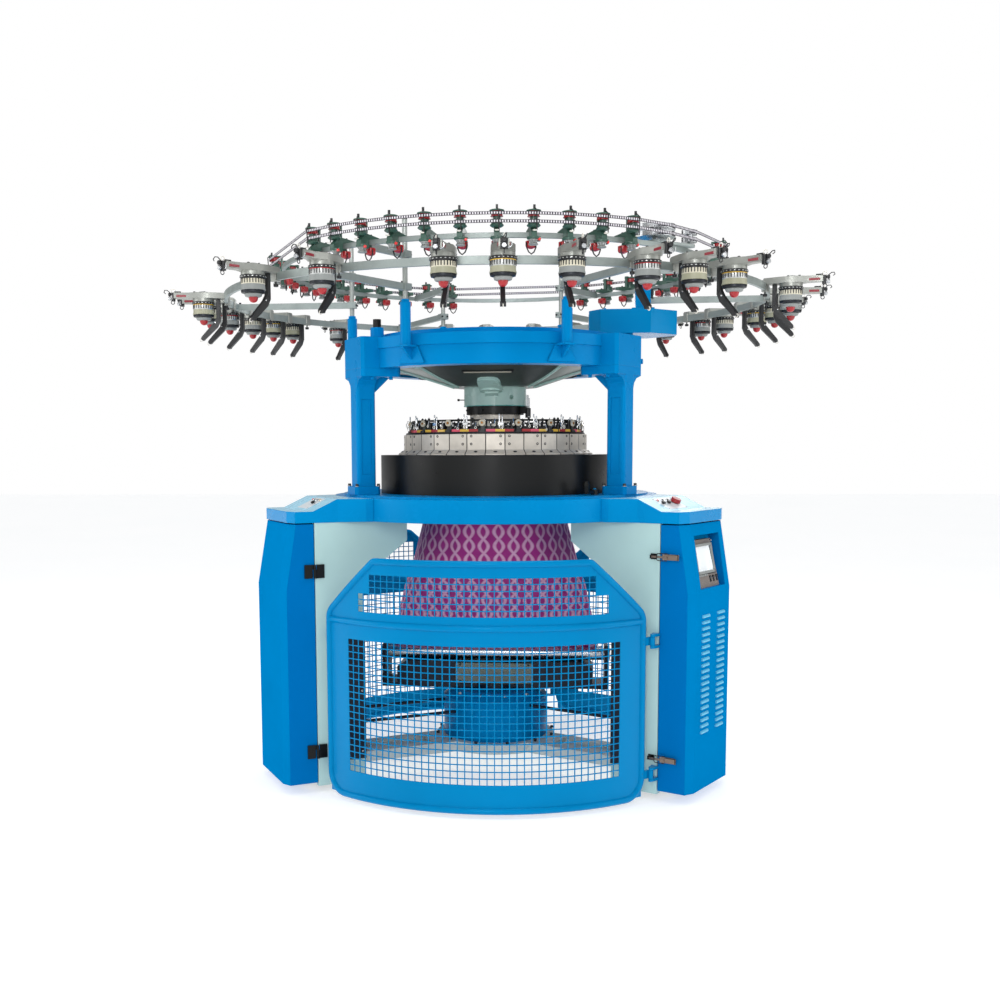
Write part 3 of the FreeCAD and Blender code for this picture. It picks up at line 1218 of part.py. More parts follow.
def drive_box():
    """The creel drive housing on the bridge, with the square pillar that rises from it."""
    outline = [(404, -60), (450, -130), (660, -130), (776, -30), (776, 30), (660, 130),
               (450, 130), (404, 60)]
    case = plan_prism(outline, DRIVE_BOX_BOTTOM, DRIVE_BOX_TOP)
    foot = box((POST_CIRCLE_ON_TOP - 36, -62, BLOCK_TOP), (POST_CIRCLE_ON_TOP + 30, 62,
                                                           DRIVE_BOX_BOTTOM + 1))
    half = PILLAR_WIDTH / 2
    flange = rounded_bar(half + 16, half + 16, 6, DRIVE_BOX_TOP, DRIVE_BOX_TOP + 14, (PILLAR_PLACE, 0))
    pillar = rounded_bar(half, half, 6, DRIVE_BOX_TOP + 14, INNER_RING_TOP + 40, (PILLAR_PLACE, 0))
    return joined([case, foot, flange, pillar])


def quality_bracket():
    """The arm on the inner ring that carries the quality wheels' spindle and the idler's."""
    low = INNER_RING_TOP + 0.3
    wheel = polar(QUALITY_WHEEL_CIRCLE, QUALITY_WHEEL_ANGLE)
    idler = polar(IDLER_CIRCLE, IDLER_ANGLE)
    plate = cylinder(26, low, low + 10, (wheel.x, wheel.y))
    plate = plate.fuse(cylinder(22, low, low + 10, (idler.x, idler.y)))
    across = (idler - wheel).normalize()
    normal = Vector(-across.y, across.x, 0) * 20
    plan = [wheel + normal, idler + normal, idler - normal, wheel - normal]
    plate = plate.fuse(plan_prism([(point.x, point.y) for point in plan], low, low + 10))
    wheel_pin = cylinder(6, low + 5, UPPER_BELT_HEIGHT + 20, (wheel.x, wheel.y))
    idler_pin = cylinder(6, low + 5, UPPER_BELT_HEIGHT + 14, (idler.x, idler.y))
    return joined([plate, wheel_pin, idler_pin])


def quality_wheels():
    """The two flat quality wheels, one for each belt, on their common hub."""
    wheel = polar(QUALITY_WHEEL_CIRCLE, QUALITY_WHEEL_ANGLE)
    bore = 6 + HINGE_CLEARANCE
    low = LOWER_BELT_HEIGHT - 9
    high = UPPER_BELT_HEIGHT + 9
    discs = [faceted([(QUALITY_WHEEL_RADIUS, bottom), (QUALITY_WHEEL_RADIUS, bottom + 18)], 24,
                     (wheel.x, wheel.y)) for bottom in (low, high - 18)]
    hub = cylinder(24, low, high, (wheel.x, wheel.y))
    return joined(discs + [hub]).cut(cylinder(bore, low - 1, high + 1, (wheel.x, wheel.y)))


def belt_idler():
    place = polar(IDLER_CIRCLE, IDLER_ANGLE)
    bore = 6 + HINGE_CLEARANCE
    low = LOWER_BELT_HEIGHT - 9
    high = UPPER_BELT_HEIGHT + 9
    discs = [faceted([(IDLER_RADIUS, bottom), (IDLER_RADIUS, bottom + 18)], 16, (place.x, place.y))
             for bottom in (low, high - 18)]
    hub = faceted([(14, low), (14, high)], 12, (place.x, place.y))
    return joined(discs + [hub]).cut(cylinder(bore, low - 1, high + 1, (place.x, place.y)))


# ---------------------------------------------------------------- take-down and cloth
def centre_gearbox():
    """The gear case in the middle of the base, with a chamfered shoulder and a turntable spigot."""
    bottom = BASE_ARM_BOTTOM + BASE_ARM_THICKNESS
    spigot_top = TAKEDOWN_BOTTOM + 16
    return revolved([(0, bottom), (GEARBOX_RADIUS, bottom), (GEARBOX_RADIUS, GEARBOX_TOP - GEARBOX_CHAMFER),
                     (GEARBOX_RADIUS - GEARBOX_CHAMFER, GEARBOX_TOP), (SPIGOT_RADIUS + 30, GEARBOX_TOP),
                     (SPIGOT_RADIUS + 30, TAKEDOWN_BOTTOM - SEATED), (SPIGOT_RADIUS, TAKEDOWN_BOTTOM - SEATED),
                     (SPIGOT_RADIUS, spigot_top), (0, spigot_top)])


def takedown_frame():
    """The rotating take-down: bed plate, two gear cases and the end plates of the rollers."""
    bottom = TAKEDOWN_BOTTOM
    depth = TAKEDOWN_BOX_HALF_DEPTH
    plate_end = ROLLER_HALF_LENGTH + 4 + TAKEDOWN_PLATE
    beam = box((-plate_end, -depth, bottom), (plate_end, depth, bottom + 16))
    hub = cylinder(120, bottom, bottom + 16)
    socket = cylinder(SPIGOT_RADIUS + JOURNAL_CLEARANCE, bottom - 1, bottom + 30)
    pieces = [beam, hub]
    for side in (-1, 1):
        near = TAKEDOWN_BOX_START
        far = TAKEDOWN_BOX_END
        case = side_prism([(near, bottom + 15), (far, bottom + 15), (far, TAKEDOWN_BOX_TOP - 26),
                           (far - 40, TAKEDOWN_BOX_TOP), (near, TAKEDOWN_BOX_TOP)], -depth, depth)
        wall_near = ROLLER_HALF_LENGTH + 4
        end_plate = front_prism([(-depth, bottom), (depth, bottom), (depth, ROLLER_HEIGHT - 20),
                                 (depth - 25, ROLLER_HEIGHT + 44), (-depth + 25, ROLLER_HEIGHT + 44),
                                 (-depth, ROLLER_HEIGHT - 20)], wall_near, wall_near + TAKEDOWN_PLATE)
        turn = 0 if side > 0 else 180
        pieces.append(turned_to(case, turn))
        pieces.append(turned_to(end_plate, turn))
    frame = joined(pieces)
    bores = []
    for offset in (-roller_offset(), roller_offset()):
        bores.append(Part.makeCylinder(JOURNAL_RADIUS + JOURNAL_CLEARANCE, 2 * plate_end + 20,
                                       Vector(-plate_end - 10, offset, ROLLER_HEIGHT), Vector(1, 0, 0)))
    return frame.cut(bores + [socket])


def takedown_guards():
    """The two grey sheets that close the space between the gear cases, front and back."""
    guards = []
    for side in (-1, 1):
        depth = side * (TAKEDOWN_BOX_HALF_DEPTH - 12)
        low = min(depth, depth + side * TAKEDOWN_GUARD)
        guards.append(box((-TAKEDOWN_BOX_START + SEATED, low, TAKEDOWN_BOTTOM + 16 + SEATED),
                          (TAKEDOWN_BOX_START - SEATED, low + TAKEDOWN_GUARD, TAKEDOWN_BOX_TOP - 8)))
    return guards


def roller_offset():
    return ROLLER_RADIUS + ROLLER_GAP / 2


def takedown_roller(offset):
    """A cloth roller with a journal at each end."""
    reach = ROLLER_HALF_LENGTH + 4 + TAKEDOWN_PLATE - 1
    body = Part.makeCylinder(ROLLER_RADIUS, 2 * ROLLER_HALF_LENGTH,
                             Vector(-ROLLER_HALF_LENGTH, offset, ROLLER_HEIGHT), Vector(1, 0, 0))
    journal = Part.makeCylinder(JOURNAL_RADIUS, 2 * reach, Vector(-reach, offset, ROLLER_HEIGHT),
                                Vector(1, 0, 0))
    return body.fuse(journal).removeSplitter()


def cloth_section(half_width, half_depth, height):
    """Corners of a closed outline at a height: two straight runs joined by two round ends."""
    flat = half_width - half_depth
    corners = []
    for side in (1, -1):
        for step in range(CLOTH_STEPS + 1):
            turn = math.pi * (step / CLOTH_STEPS - 0.5)
            corners.append(Vector(side * (flat + half_depth * math.cos(turn)),
                                  side * half_depth * math.sin(turn), height))
    return corners


def fabric_tube():
    """The knitted tube: round under the needles, drawn wide by the spreader, flat at the rollers."""
    nip_reach = ROLLER_RADIUS + SEATED
    bottom = ROLLER_HEIGHT + math.sqrt(nip_reach ** 2 - (roller_offset() - FABRIC_NIP) ** 2)
    neck = CYLINDER_RADIUS - CYLINDER_WALL - SEATED
    levels = [(neck, neck - 1, CAM_TOP - DIAL_THICKNESS - SEATED), (neck, neck - 1, RACE_TOP - 62),
              (FABRIC_HALF_BED, FABRIC_HALF_BED - 40, BED_BOTTOM - 30),
              (FABRIC_HALF_SPREAD, 170, SPREADER_HEIGHT), (FABRIC_HALF_SPREAD + 12, FABRIC_NIP, bottom)]
    return flat_sided([cloth_section(*level) for level in levels])


def hand_lever():
    """The crank handle that engages the hand drive: a hub on its pin, an arm and a grip."""
    hub = faceted([(LEVER_HUB, SEAT_TOP + SEATED), (LEVER_HUB, SEAT_TOP + 22)], 12, LEVER_PLACE)
    bore = cylinder(LEVER_PIN + HINGE_CLEARANCE, SEAT_TOP, SEAT_TOP + 23, LEVER_PLACE)
    arm = box((LEVER_PLACE[0] - 8, LEVER_PLACE[1] - LEVER_LENGTH, SEAT_TOP + 6),
              (LEVER_PLACE[0] + 8, LEVER_PLACE[1] - LEVER_PIN - 4, SEAT_TOP + 18))
    grip_place = (LEVER_PLACE[0], LEVER_PLACE[1] - LEVER_LENGTH)
    grip = faceted([(11, SEAT_TOP + 5), (14, SEAT_TOP + 40), (9, SEAT_TOP + 56)], 10, grip_place)
    return turned_to(joined([hub, arm, grip]).cut(bore), LEG_ANGLES[1])


def lever_pin():
    pin = cylinder(LEVER_PIN, SEAT_TOP - 1, SEAT_TOP + 26, LEVER_PLACE)
    return turned_to(pin, LEG_ANGLES[1])


def block_knob():
    """The clamping knob on the left bridge block: a blue base, a pin and a black head."""
    body = faceted([(KNOB_RADIUS, BLOCK_TOP + SEATED), (KNOB_RADIUS, BLOCK_TOP + 42),
                    (KNOB_RADIUS * 0.6, BLOCK_TOP + 42), (KNOB_RADIUS * 0.6, BLOCK_TOP + 76)], 12,
                   KNOB_PLACE)
    bore = cylinder(LEVER_PIN + HINGE_CLEARANCE, BLOCK_TOP, BLOCK_TOP + 60, KNOB_PLACE)
    return turned_to(body.cut(bore), LEG_ANGLES[0])


def knob_pin():
    pin = cylinder(LEVER_PIN, BLOCK_TOP - 1, BLOCK_TOP + 59, KNOB_PLACE)
    return turned_to(pin, LEG_ANGLES[0])


# ---------------------------------------------------------------- inside the legs
def drive_motor():
    """The main motor on its foot, inside the rear leg."""
    low = BASE_ARM_BOTTOM + BASE_ARM_THICKNESS + SEATED
    foot = box((820, -90, low), (925, 90, low + 16))
    case = cylinder(70, low + 15, low + 280, (890, 0))
    cap = cylinder(58, low + 279, low + 310, (890, 0))
    shaft = cylinder(14, low + 309, low + 350, (890, 0))
    return turned_to(joined([foot, case, cap, shaft]), LEG_ANGLES[2])


def electric_box():
    """The inverter case on the post of the right leg, behind the louvres."""
    case = rounded_bar(40, 110, 6, 340, 700, (856, 0))
    return turned_to(case, LEG_ANGLES[1])


# ---------------------------------------------------------------- the nodes
save("base_arms", base_arms())
save("steel_frame", steel_frame())
save("levelling_feet", levelling_feet())
save("side_panels", side_panels())
save("cover_hinges", hinge_leaves() + latch_hooks())
save("leg_equipment", [drive_motor(), electric_box()])

plain_cover = leg_cover()
for name, angle in zip(LEG_NAMES, LEG_ANGLES):
    cover = right_leg_cover() if name == "right" else plain_cover
    brackets = [piece for height in LATCH_HEIGHTS for piece in latch_base(height)]
    save("cover_" + name, turned_to(joined([cover] + brackets), angle))
    for place, height in zip(("lower", "upper"), LATCH_HEIGHTS):
        save("latch_" + name + "_" + place, turned_to(latch_lever(height), angle))

save("control_panel", [turned_to(control_panel(), LEG_ANGLES[1]), turned_to(screen_glass(), LEG_ANGLES[1])])
for number, across in enumerate(SWITCH_PLACES, 1):
    save("switch_" + str(number), turned_to(switch_rocker(across), LEG_ANGLES[1]))

lids = []
for name, angle in zip(LEG_NAMES, LEG_ANGLES):
    lid = leg_lid()
    if name == "right":
        wells = [button_well(along, across, STOP_RADIUS if spot == "stop_button" else BUTTON_RADIUS)
                 for spot, (along, across) in BUTTON_SPOTS.items()]
        lid = lid.cut(wells)
    if name == "left":
        lid = lid.cut(button_well(LEFT_BUTTON_SPOT[0], LEFT_BUTTON_SPOT[1], BUTTON_RADIUS))
    lids.append(turned_to(lid, angle))
save("leg_lids", lids)
for spot, (along, across) in BUTTON_SPOTS.items():
    if spot == "stop_button":
        save(spot, turned_to(button(along, across, STOP_RADIUS, 16), LEG_ANGLES[1]))
    else:
        save(spot, turned_to(button(along, across, BUTTON_RADIUS, 6), LEG_ANGLES[1]))
save("start_button_left", turned_to(button(LEFT_BUTTON_SPOT[0], LEFT_BUTTON_SPOT[1],
                                           BUTTON_RADIUS, 6), LEG_ANGLES[0]))

door = guard_door()
for name, angle in zip(DOOR_NAMES, DOOR_ANGLES):
    save("door_" + name, turned_to(door, angle))
save("door_brackets", door_brackets())

save("bed_plate", [bed_plate().fuse(lever_pin()), cylinder_support()])
save("columns", around(column(), LEG_ANGLES))
save("bridge_ring", bridge_ring().fuse(knob_pin()))
save("block_knob", block_knob())
save("dial_dish", dial_dish())
save("dial_housing", dial_housing())
save("clamp_ring", clamp_ring())
save("skirt_guard", skirt_guard())
save("cam_boxes", around(cam_box(), even_angles(CAM_COUNT)))
save("yarn_guide_ring", yarn_guide_ring())
save("needle_cylinder", needle_cylinder())
save("needle_dial", needle_dial())

save("post_sockets", post_sockets())
save("creel_posts", creel_posts())
save("ring_spokes", ring_spokes())
save("feeder_rings", [feeder_ring(OUTER_RING_RADIUS, OUTER_RING_HEIGHT, OUTER_RING_BAR),
                      feeder_ring(INNER_RING_RADIUS, INNER_RING_HEIGHT, INNER_RING_BAR),
                      quality_bracket()])
save("storage_housings", around(storage_housing(), STORAGE_ANGLES))
save("storage_drums", around(storage_drum(), STORAGE_ANGLES))
save("storage_arms", around(storage_arm(), STORAGE_ANGLES))
save("feeder_bodies", around(feeder_body(), feeder_angles()))
pulleys = []
for height in (LOWER_BELT_HEIGHT, UPPER_BELT_HEIGHT):
    pulleys += around(feeder_pulley(height), feeder_angles())
save("feeder_pulleys", pulleys + around(feed_wheel(), feeder_angles()))
save("feed_belts", [feed_belt(LOWER_BELT_HEIGHT), feed_belt(UPPER_BELT_HEIGHT)])
save("drive_box", drive_box())
save("quality_wheels", quality_wheels())
save("belt_idler", belt_idler())

save("centre_gearbox", centre_gearbox())
save("takedown_frame", takedown_frame())
save("takedown_guards", takedown_guards())
save("takedown_roller_front", takedown_roller(-roller_offset()))
save("takedown_roller_rear", takedown_roller(roller_offset()))
save("fabric_tube", fabric_tube())
save("hand_lever", hand_lever())
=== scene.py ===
"""Looks of the circular knitting machine: materials, fine pieces, cloth, light and camera."""

import random
from math import atan2, ceil, cos, degrees, pi, radians, sin, tan

import bmesh
import bpy
from mathutils import Matrix, Vector


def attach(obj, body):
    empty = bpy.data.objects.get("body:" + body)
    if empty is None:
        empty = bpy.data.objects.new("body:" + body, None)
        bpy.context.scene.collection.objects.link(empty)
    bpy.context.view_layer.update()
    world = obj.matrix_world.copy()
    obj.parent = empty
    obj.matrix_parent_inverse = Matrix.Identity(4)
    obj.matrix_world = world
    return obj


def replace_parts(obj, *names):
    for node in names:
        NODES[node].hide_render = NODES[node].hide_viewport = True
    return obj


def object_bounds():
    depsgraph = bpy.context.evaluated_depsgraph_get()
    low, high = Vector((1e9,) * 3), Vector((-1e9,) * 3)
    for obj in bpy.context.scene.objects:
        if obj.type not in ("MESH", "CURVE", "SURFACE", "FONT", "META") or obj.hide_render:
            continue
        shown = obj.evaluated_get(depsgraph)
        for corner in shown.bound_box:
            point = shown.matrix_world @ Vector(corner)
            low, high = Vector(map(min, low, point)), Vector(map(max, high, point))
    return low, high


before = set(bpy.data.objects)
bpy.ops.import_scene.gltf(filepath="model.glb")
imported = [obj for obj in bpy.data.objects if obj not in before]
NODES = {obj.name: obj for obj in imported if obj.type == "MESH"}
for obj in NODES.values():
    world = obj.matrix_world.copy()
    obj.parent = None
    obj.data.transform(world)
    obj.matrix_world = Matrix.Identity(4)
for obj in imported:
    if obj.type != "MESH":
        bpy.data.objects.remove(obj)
CAD_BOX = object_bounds()
MM = 0.001


# ---------------------------------------------------------------- forms, in millimetres

TAU = 2 * pi
STILL = Matrix.Identity(4)
OUTWARD = Matrix.Rotation(pi / 2, 4, "Y")
INWARD = Matrix.Rotation(-pi / 2, 4, "Y")
ACROSS = Matrix.Rotation(-pi / 2, 4, "X")
UPRIGHT = Matrix.Rotation(pi / 2, 4, "X")
DOWN = Matrix.Rotation(pi, 4, "X")
SHARP_ANGLE = 38.0


def shift(x, y=0.0, z=0.0):
    return Matrix.Translation((x, y, z))


def lift(z):
    return Matrix.Translation((0, 0, z))


def at(angle, radius, height=0.0, across=0.0):
    """A place on the machine: turned about its axis, out along the radius, up and sideways."""
    return Matrix.Rotation(radians(angle), 4, "Z") @ shift(radius, across, height)


def polar(radius, angle, height=0.0):
    turn = radians(angle)
    return Vector((radius * cos(turn), radius * sin(turn), height))


def even(count, start=0.0):
    return [start + 360.0 * k / count for k in range(count)]


def oval(half_length, half_width, sides=24):
    return [(half_length * cos(TAU * k / sides), half_width * sin(TAU * k / sides)) for k in range(sides)]


def mirrored(half, *tip):
    """An outline from its half below the middle line, and a tip on that line if it has one."""
    return [*half, *tip, *((x, -y) for x, y in half[::-1])]


def skin(rows, count):
    """The faces between rows + 1 rings of count corners."""
    return [(low + k, low + (k + 1) % count, low + count + (k + 1) % count, low + count + k)
            for low in range(0, rows * count, count) for k in range(count)]


def ends(rows, count, flip=False):
    """The two end faces of a form of rows + 1 rings of count corners."""
    faces = [tuple(reversed(range(count))), tuple(range(rows * count, (rows + 1) * count))]
    return [face[::-1] for face in faces] if flip else faces


def lathe(profile, sides=16):
    """A turned form: profile points run (radius, height) from one end to the other."""
    turns = [TAU * (k + 0.5) / sides for k in range(sides)]
    rows = len(profile) - 1
    corners = [Vector((radius * cos(turn), radius * sin(turn), height))
               for radius, height in profile for turn in turns]
    return corners, skin(rows, sides) + ends(rows, sides)


def prism(outline, low, high):
    """A plate with the given outline in plan."""
    corners = [Vector((x, y, z)) for z in (low, high) for x, y in outline]
    return corners, ends(1, len(outline)) + skin(1, len(outline))


def block(low, high, edge=0.0):
    """A rectangular bar; edge is the chamfer of its upright corners."""
    (x0, y0, z0), (x1, y1, z1) = low, high
    outline = [(x0 + edge, y0), (x1 - edge, y0), (x1, y0 + edge), (x1, y1 - edge),
               (x1 - edge, y1), (x0 + edge, y1), (x0, y1 - edge), (x0, y0 + edge)]
    return prism(outline if edge else outline[::2], z0, z1)


def sweep(path, radius, sides=8, closed=False):
    """A round tube along a path, kept from twisting; a closed one meets its start corner to corner."""
    path = [Vector(point) for point in path]
    count, corners, normal = len(path), [], None
    for k, point in enumerate(path):
        before = path[k - 1] if closed or k else point
        after = path[(k + 1) % count] if closed or k < count - 1 else point
        along = (after - before).normalized()
        normal = normal or along.orthogonal().normalized()
        normal = (normal - along * normal.dot(along)).normalized()
        side = along.cross(normal)
        for j in range(sides):
            turn = TAU * j / sides
            corners.append(point + (normal * cos(turn) + side * sin(turn)) * radius)
    faces = skin(count - 1, sides)
    if not closed:
        return corners, faces + ends(count - 1, sides)
    last = (count - 1) * sides
    gaps = [(corner - corners[last]).length for corner in corners[:sides]]
    slip = gaps.index(min(gaps))
    return corners, faces + [(last + j, last + (j + 1) % sides, (j + 1 + slip) % sides, (j + slip) % sides)
                             for j in range(sides)]


def hoop(radius, thickness, sides=20, tube=6, start=0.0, end=360.0):
    """A round wire bent to a circle, or to part of one, about the Z axis."""
    whole = end - start >= 360.0
    path = [polar(radius, start + (end - start) * k / sides) for k in range(sides + (not whole))]
    return sweep(path, thickness, tube, whole)


def arc_bar(inner, outer, low, high, start=0, end=360, steps=96):
    """A bar of rectangular section bent about the machine's axis."""
    section = ((inner, low), (outer, low), (outer, high), (inner, high))
    corners = [polar(radius, start + (end - start) * k / steps, height)
               for k in range(steps + 1) for radius, height in section]
    return corners, skin(steps, 4) + ends(steps, 4)


def grown(size, *profile):
    """A profile that is drawn for a radius of one, brought to its size."""
    return [(size * radius, size * height) for radius, height in profile]


def cap_screw(radius):
    """A socket-head cap screw seen from outside: the head with a recess for its key."""
    return lathe(grown(radius, (1, 0), (1, 1.2), (0.88, 1.4), (0.5, 1.4), (0.45, 0.5)), 12)


def hex_bolt(radius):
    """A hexagon head on its washer."""
    corners, faces = lathe(grown(radius, (1.35, 0), (1.35, 0.25)), 16)
    head, sides = lathe(grown(radius, (1, 0.25), (1, 0.95), (0.85, 1.05)), 6)
    return corners + head, faces + [tuple(len(corners) + k for k in face) for face in sides]


def rounded_path(corners, radii, step, closed=True):
    """Points along a flat outline whose corners are rounded; runs are divided every step."""
    count, points = len(corners), []
    for k, corner in enumerate(corners):
        here = Vector(corner)
        if not closed and k in (0, count - 1):
            points.append(here)
            continue
        before = (Vector(corners[k - 1]) - here).normalized()
        after = (Vector(corners[(k + 1) % count]) - here).normalized()
        half = before.angle(after) / 2
        centre = here + (before + after).normalized() * (radii[k] / sin(half))
        start, end = (here + way * (radii[k] / tan(half)) - centre for way in (before, after))
        points += [centre + start.lerp(end, j / 8).normalized() * radii[k] for j in range(9)]
    path = []
    for a, b in zip(points, points[1:] + (points[:1] if closed else [])):
        parts = max(1, ceil((b - a).length / step))
        path += [a.lerp(b, j / parts) for j in range(parts)]
    return path if closed else path + points[-1:]


def new_object(name, data):
    holder = bpy.data.objects.new(name, data)
    bpy.context.scene.collection.objects.link(holder)
    return holder


class Piece:
    """One visual piece under construction, in millimetres, with a finish for each face."""

    def __init__(self, name, body="machine"):
        self.name, self.body = name, body
        self.corners, self.faces, self.marks, self.finishes = [], [], [], []

    def add(self, form, finish, place=STILL):
        corners, faces = form
        if finish not in self.finishes:
            self.finishes.append(finish)
        start = len(self.corners)
        self.corners += [place @ Vector(corner) for corner in corners]
        self.faces += [tuple(start + k for k in face) for face in faces]
        self.marks += [self.finishes.index(finish)] * len(faces)

    def turn(self, place, *rows):
        """Turned forms that share a place: rows of sides, finish and the points of a profile."""
        for sides, finish, *profile in rows:
            self.add(lathe(profile, sides), finish, place)

    def build(self):
        mesh = bpy.data.meshes.new(self.name)
        mesh.from_pydata([corner * MM for corner in self.corners], [], self.faces)
        for finish in self.finishes:
            mesh.materials.append(finish)
        mesh.polygons.foreach_set("material_index", self.marks)
        mesh.polygons.foreach_set("use_smooth", [True] * len(self.faces))
        shape = bmesh.new()
        shape.from_mesh(mesh)
        bmesh.ops.recalc_face_normals(shape, faces=shape.faces)
        shape.to_mesh(mesh)
        shape.free()
        mesh.set_sharp_from_angle(angle=radians(SHARP_ANGLE))
        piece = new_object(self.name, mesh)
        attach(piece, self.body)
        return piece


# ---------------------------------------------------------------- materials

class Nodes:
    """Wires the nodes of a tree: an input takes a value or another node's output."""

    def __init__(self, tree):
        self.tree = tree

    def feed(self, socket, source):
        if isinstance(source, bpy.types.NodeSocket):
            self.tree.links.new(source, socket)
        else:
            socket.default_value = source

    def node(self, kind, **inputs):
        node = self.tree.nodes.new("ShaderNode" + kind)
        for name, source in inputs.items():
            self.feed(node.inputs[name.replace("_", " ")], source)
        return node

    def math(self, operation, *sources):
        node = self.node("Math")
        node.operation = operation
        for socket, source in zip(node.inputs, sources):
            self.feed(socket, source)
        return node.outputs["Value"]

    def times(self, source, factor):
        return self.math("MULTIPLY", source, factor)

    def apart(self, source, other):
        return self.math("ABSOLUTE", self.math("SUBTRACT", source, other))

    def wave(self, source, length):
        return self.math("SINE", self.times(source, TAU / length))


class Shader(Nodes):
    """A node material under construction, with one principled shader."""

    def __init__(self, name):
        self.material = bpy.data.materials.new(name)
        self.material.use_nodes = True
        super().__init__(self.material.node_tree)
        self.bsdf = self.tree.nodes["Principled BSDF"]
        self.place = self.node("TexCoord").outputs["Object"]

    def set(self, **sockets):
        for name, source in sockets.items():
            self.feed(self.bsdf.inputs[name.replace("_", " ")], source)
        return self.material

    def noise(self, scale, detail=3.0, rough=0.55, stretch=None):
        node = self.node("TexNoise", Scale=scale, Detail=detail, Roughness=rough)
        place = self.place
        if stretch:
            place = self.node("Mapping", Scale=stretch, Vector=place).outputs["Vector"]
        self.feed(node.inputs["Vector"], place)
        return node.outputs["Fac"]

    def ramp(self, source, *stops):
        node = self.node("ValToRGB", Fac=source)
        elements = node.color_ramp.elements
        while len(elements) < len(stops):
            elements.new(0.5)
        for element, (position, colour) in zip(elements, stops):
            element.position = position
            element.color = (*colour, 1.0)
        return node.outputs["Color"]

    def spread(self, source, low, high):
        """A noise's middle range stretched from low to high."""
        node = self.node("MapRange", From_Min=0.3, From_Max=0.7, To_Min=low, To_Max=high, Value=source)
        return node.outputs["Result"]

    def mix(self, factor, a, b):
        node = self.node("Mix")
        node.data_type = "RGBA"
        for name, source in (("Factor", factor), ("A", a), ("B", b)):
            socket = [s for s in node.inputs if s.name == name and s.enabled][0]
            self.feed(socket, (*source, 1.0) if isinstance(source, tuple) else source)
        return [s for s in node.outputs if s.enabled][0]

    def bump(self, height, strength, distance, rounding=0.0):
        """Relief from a height; rounding is the radius that edges seem to have."""
        node = self.node("Bump", Strength=strength, Distance=distance, Height=height)
        if rounding:
            edge = self.node("Bevel", Radius=rounding)
            edge.samples = 4
            self.feed(node.inputs["Normal"], edge.outputs["Normal"])
        self.set(Normal=node.outputs["Normal"])


def linear(hex_colour):
    """The linear colour of an sRGB hex string."""
    parts = [int(hex_colour[i:i + 2], 16) / 255 for i in (0, 2, 4)]
    return tuple(c / 12.92 if c <= 0.04045 else ((c + 0.055) / 1.055) ** 2.4 for c in parts)


def shade(colour, factor):
    return tuple(min(1.0, c * factor) for c in colour)


def painted(name, hex_colour, rough=0.28, coat=0.35, peel=0.25, rounding=0.0015, gloss=0.35,
            tint=(1.0, 1.0, 1.0)):
    """Sprayed paint: slight patchiness, orange peel, dust in the roughness, rounded edges."""
    tone = linear(hex_colour)
    s = Shader(name)
    patches = s.ramp(s.noise(2.2, 4.0), (0.3, shade(tone, 0.93)), (0.5, tone), (0.72, shade(tone, 1.05)))
    dust = s.spread(s.noise(9.0, 5.0), rough - 0.05, rough + 0.07)
    s.bump(s.noise(420.0, 1.0), peel, 0.0004, rounding)
    return s.set(Base_Color=patches, Roughness=dust, Metallic=0.0, Coat_Weight=coat, Coat_Roughness=0.12,
                 Specular_IOR_Level=gloss, Specular_Tint=(*tint, 1.0))


def metal(name, hex_colour, rough=0.32, grain=300.0, strength=0.15, metallic=1.0):
    """Bare or plated metal with a fine grain and faint stains."""
    tone = linear(hex_colour)
    s = Shader(name)
    stain = s.noise(14.0, 5.0, 0.6)
    stained = s.ramp(stain, (0.25, shade(tone, 0.82)), (0.55, tone), (0.8, shade(tone, 1.08)))
    fine = s.noise(grain, 2.0, 0.5, (1.0, 1.0, 1.0))
    grained = s.spread(fine, rough - 0.06, rough + 0.1)
    s.bump(fine, strength, 0.0002, 0.001)
    return s.set(Base_Color=stained, Roughness=grained, Metallic=metallic)


def moulded(name, hex_colour, rough=0.45, strength=0.3, coat=0.0):
    """Moulded plastic with a fine spark-eroded texture."""
    tone = linear(hex_colour)
    s = Shader(name)
    clouds = s.ramp(s.noise(6.0, 4.0), (0.3, shade(tone, 0.88)), (0.7, shade(tone, 1.1)))
    worn = s.spread(s.noise(30.0, 4.0), rough - 0.06, rough + 0.08)
    s.bump(s.noise(900.0, 1.0), strength, 0.0002, 0.0008)
    return s.set(Base_Color=clouds, Roughness=worn, Metallic=0.0, Coat_Weight=coat, Coat_Roughness=0.2)


COOL = (0.08, 0.65, 1.0)
DEEP = (0.1, 0.55, 1.0)
CASTING = dict(rounding=0.004, tint=COOL)
SHEET = dict(rough=0.36, coat=0.0, rounding=0.003, tint=DEEP)
BLUE = painted("paint_blue", "007FB9", rough=0.2, coat=0.02, gloss=0.25, **CASTING)
# painted light: a lighter copy of the blue paint for the bed and lids, standing for how the light falls on
# them
BLUE_BED_LIT = painted("paint_blue_bed_painted_light", "0087C6", rough=0.26, coat=0.0, gloss=0.2, **CASTING)
# painted shade: a deeper copy of the blue paint for the covers' flanks, standing for the shade on them
BLUE_COVER_SHADED = painted("paint_blue_cover_painted_shade", "006DB3", gloss=0.03, **SHEET)
# painted light: a lighter copy of the cover paint for the covers' outer faces, standing for the light on
# them
BLUE_OUTER_LIT = painted("paint_blue_outer_painted_light", "0078B6", gloss=0.0, **SHEET)
# painted reflection: a pale copy of the blue paint on the lids' upward faces, standing for the sky reflected
# in them
BLUE_TOP_REFLECTION = painted("paint_blue_lid_top_painted_reflection", "A2D6EB", rough=0.26, coat=0.25, rounding=0.003, gloss=0.45,
                   tint=COOL)
BLUE_CAST = painted("paint_blue_cast", "007FC0", rough=0.3, coat=0.0, peel=0.4, gloss=0.15, **CASTING)
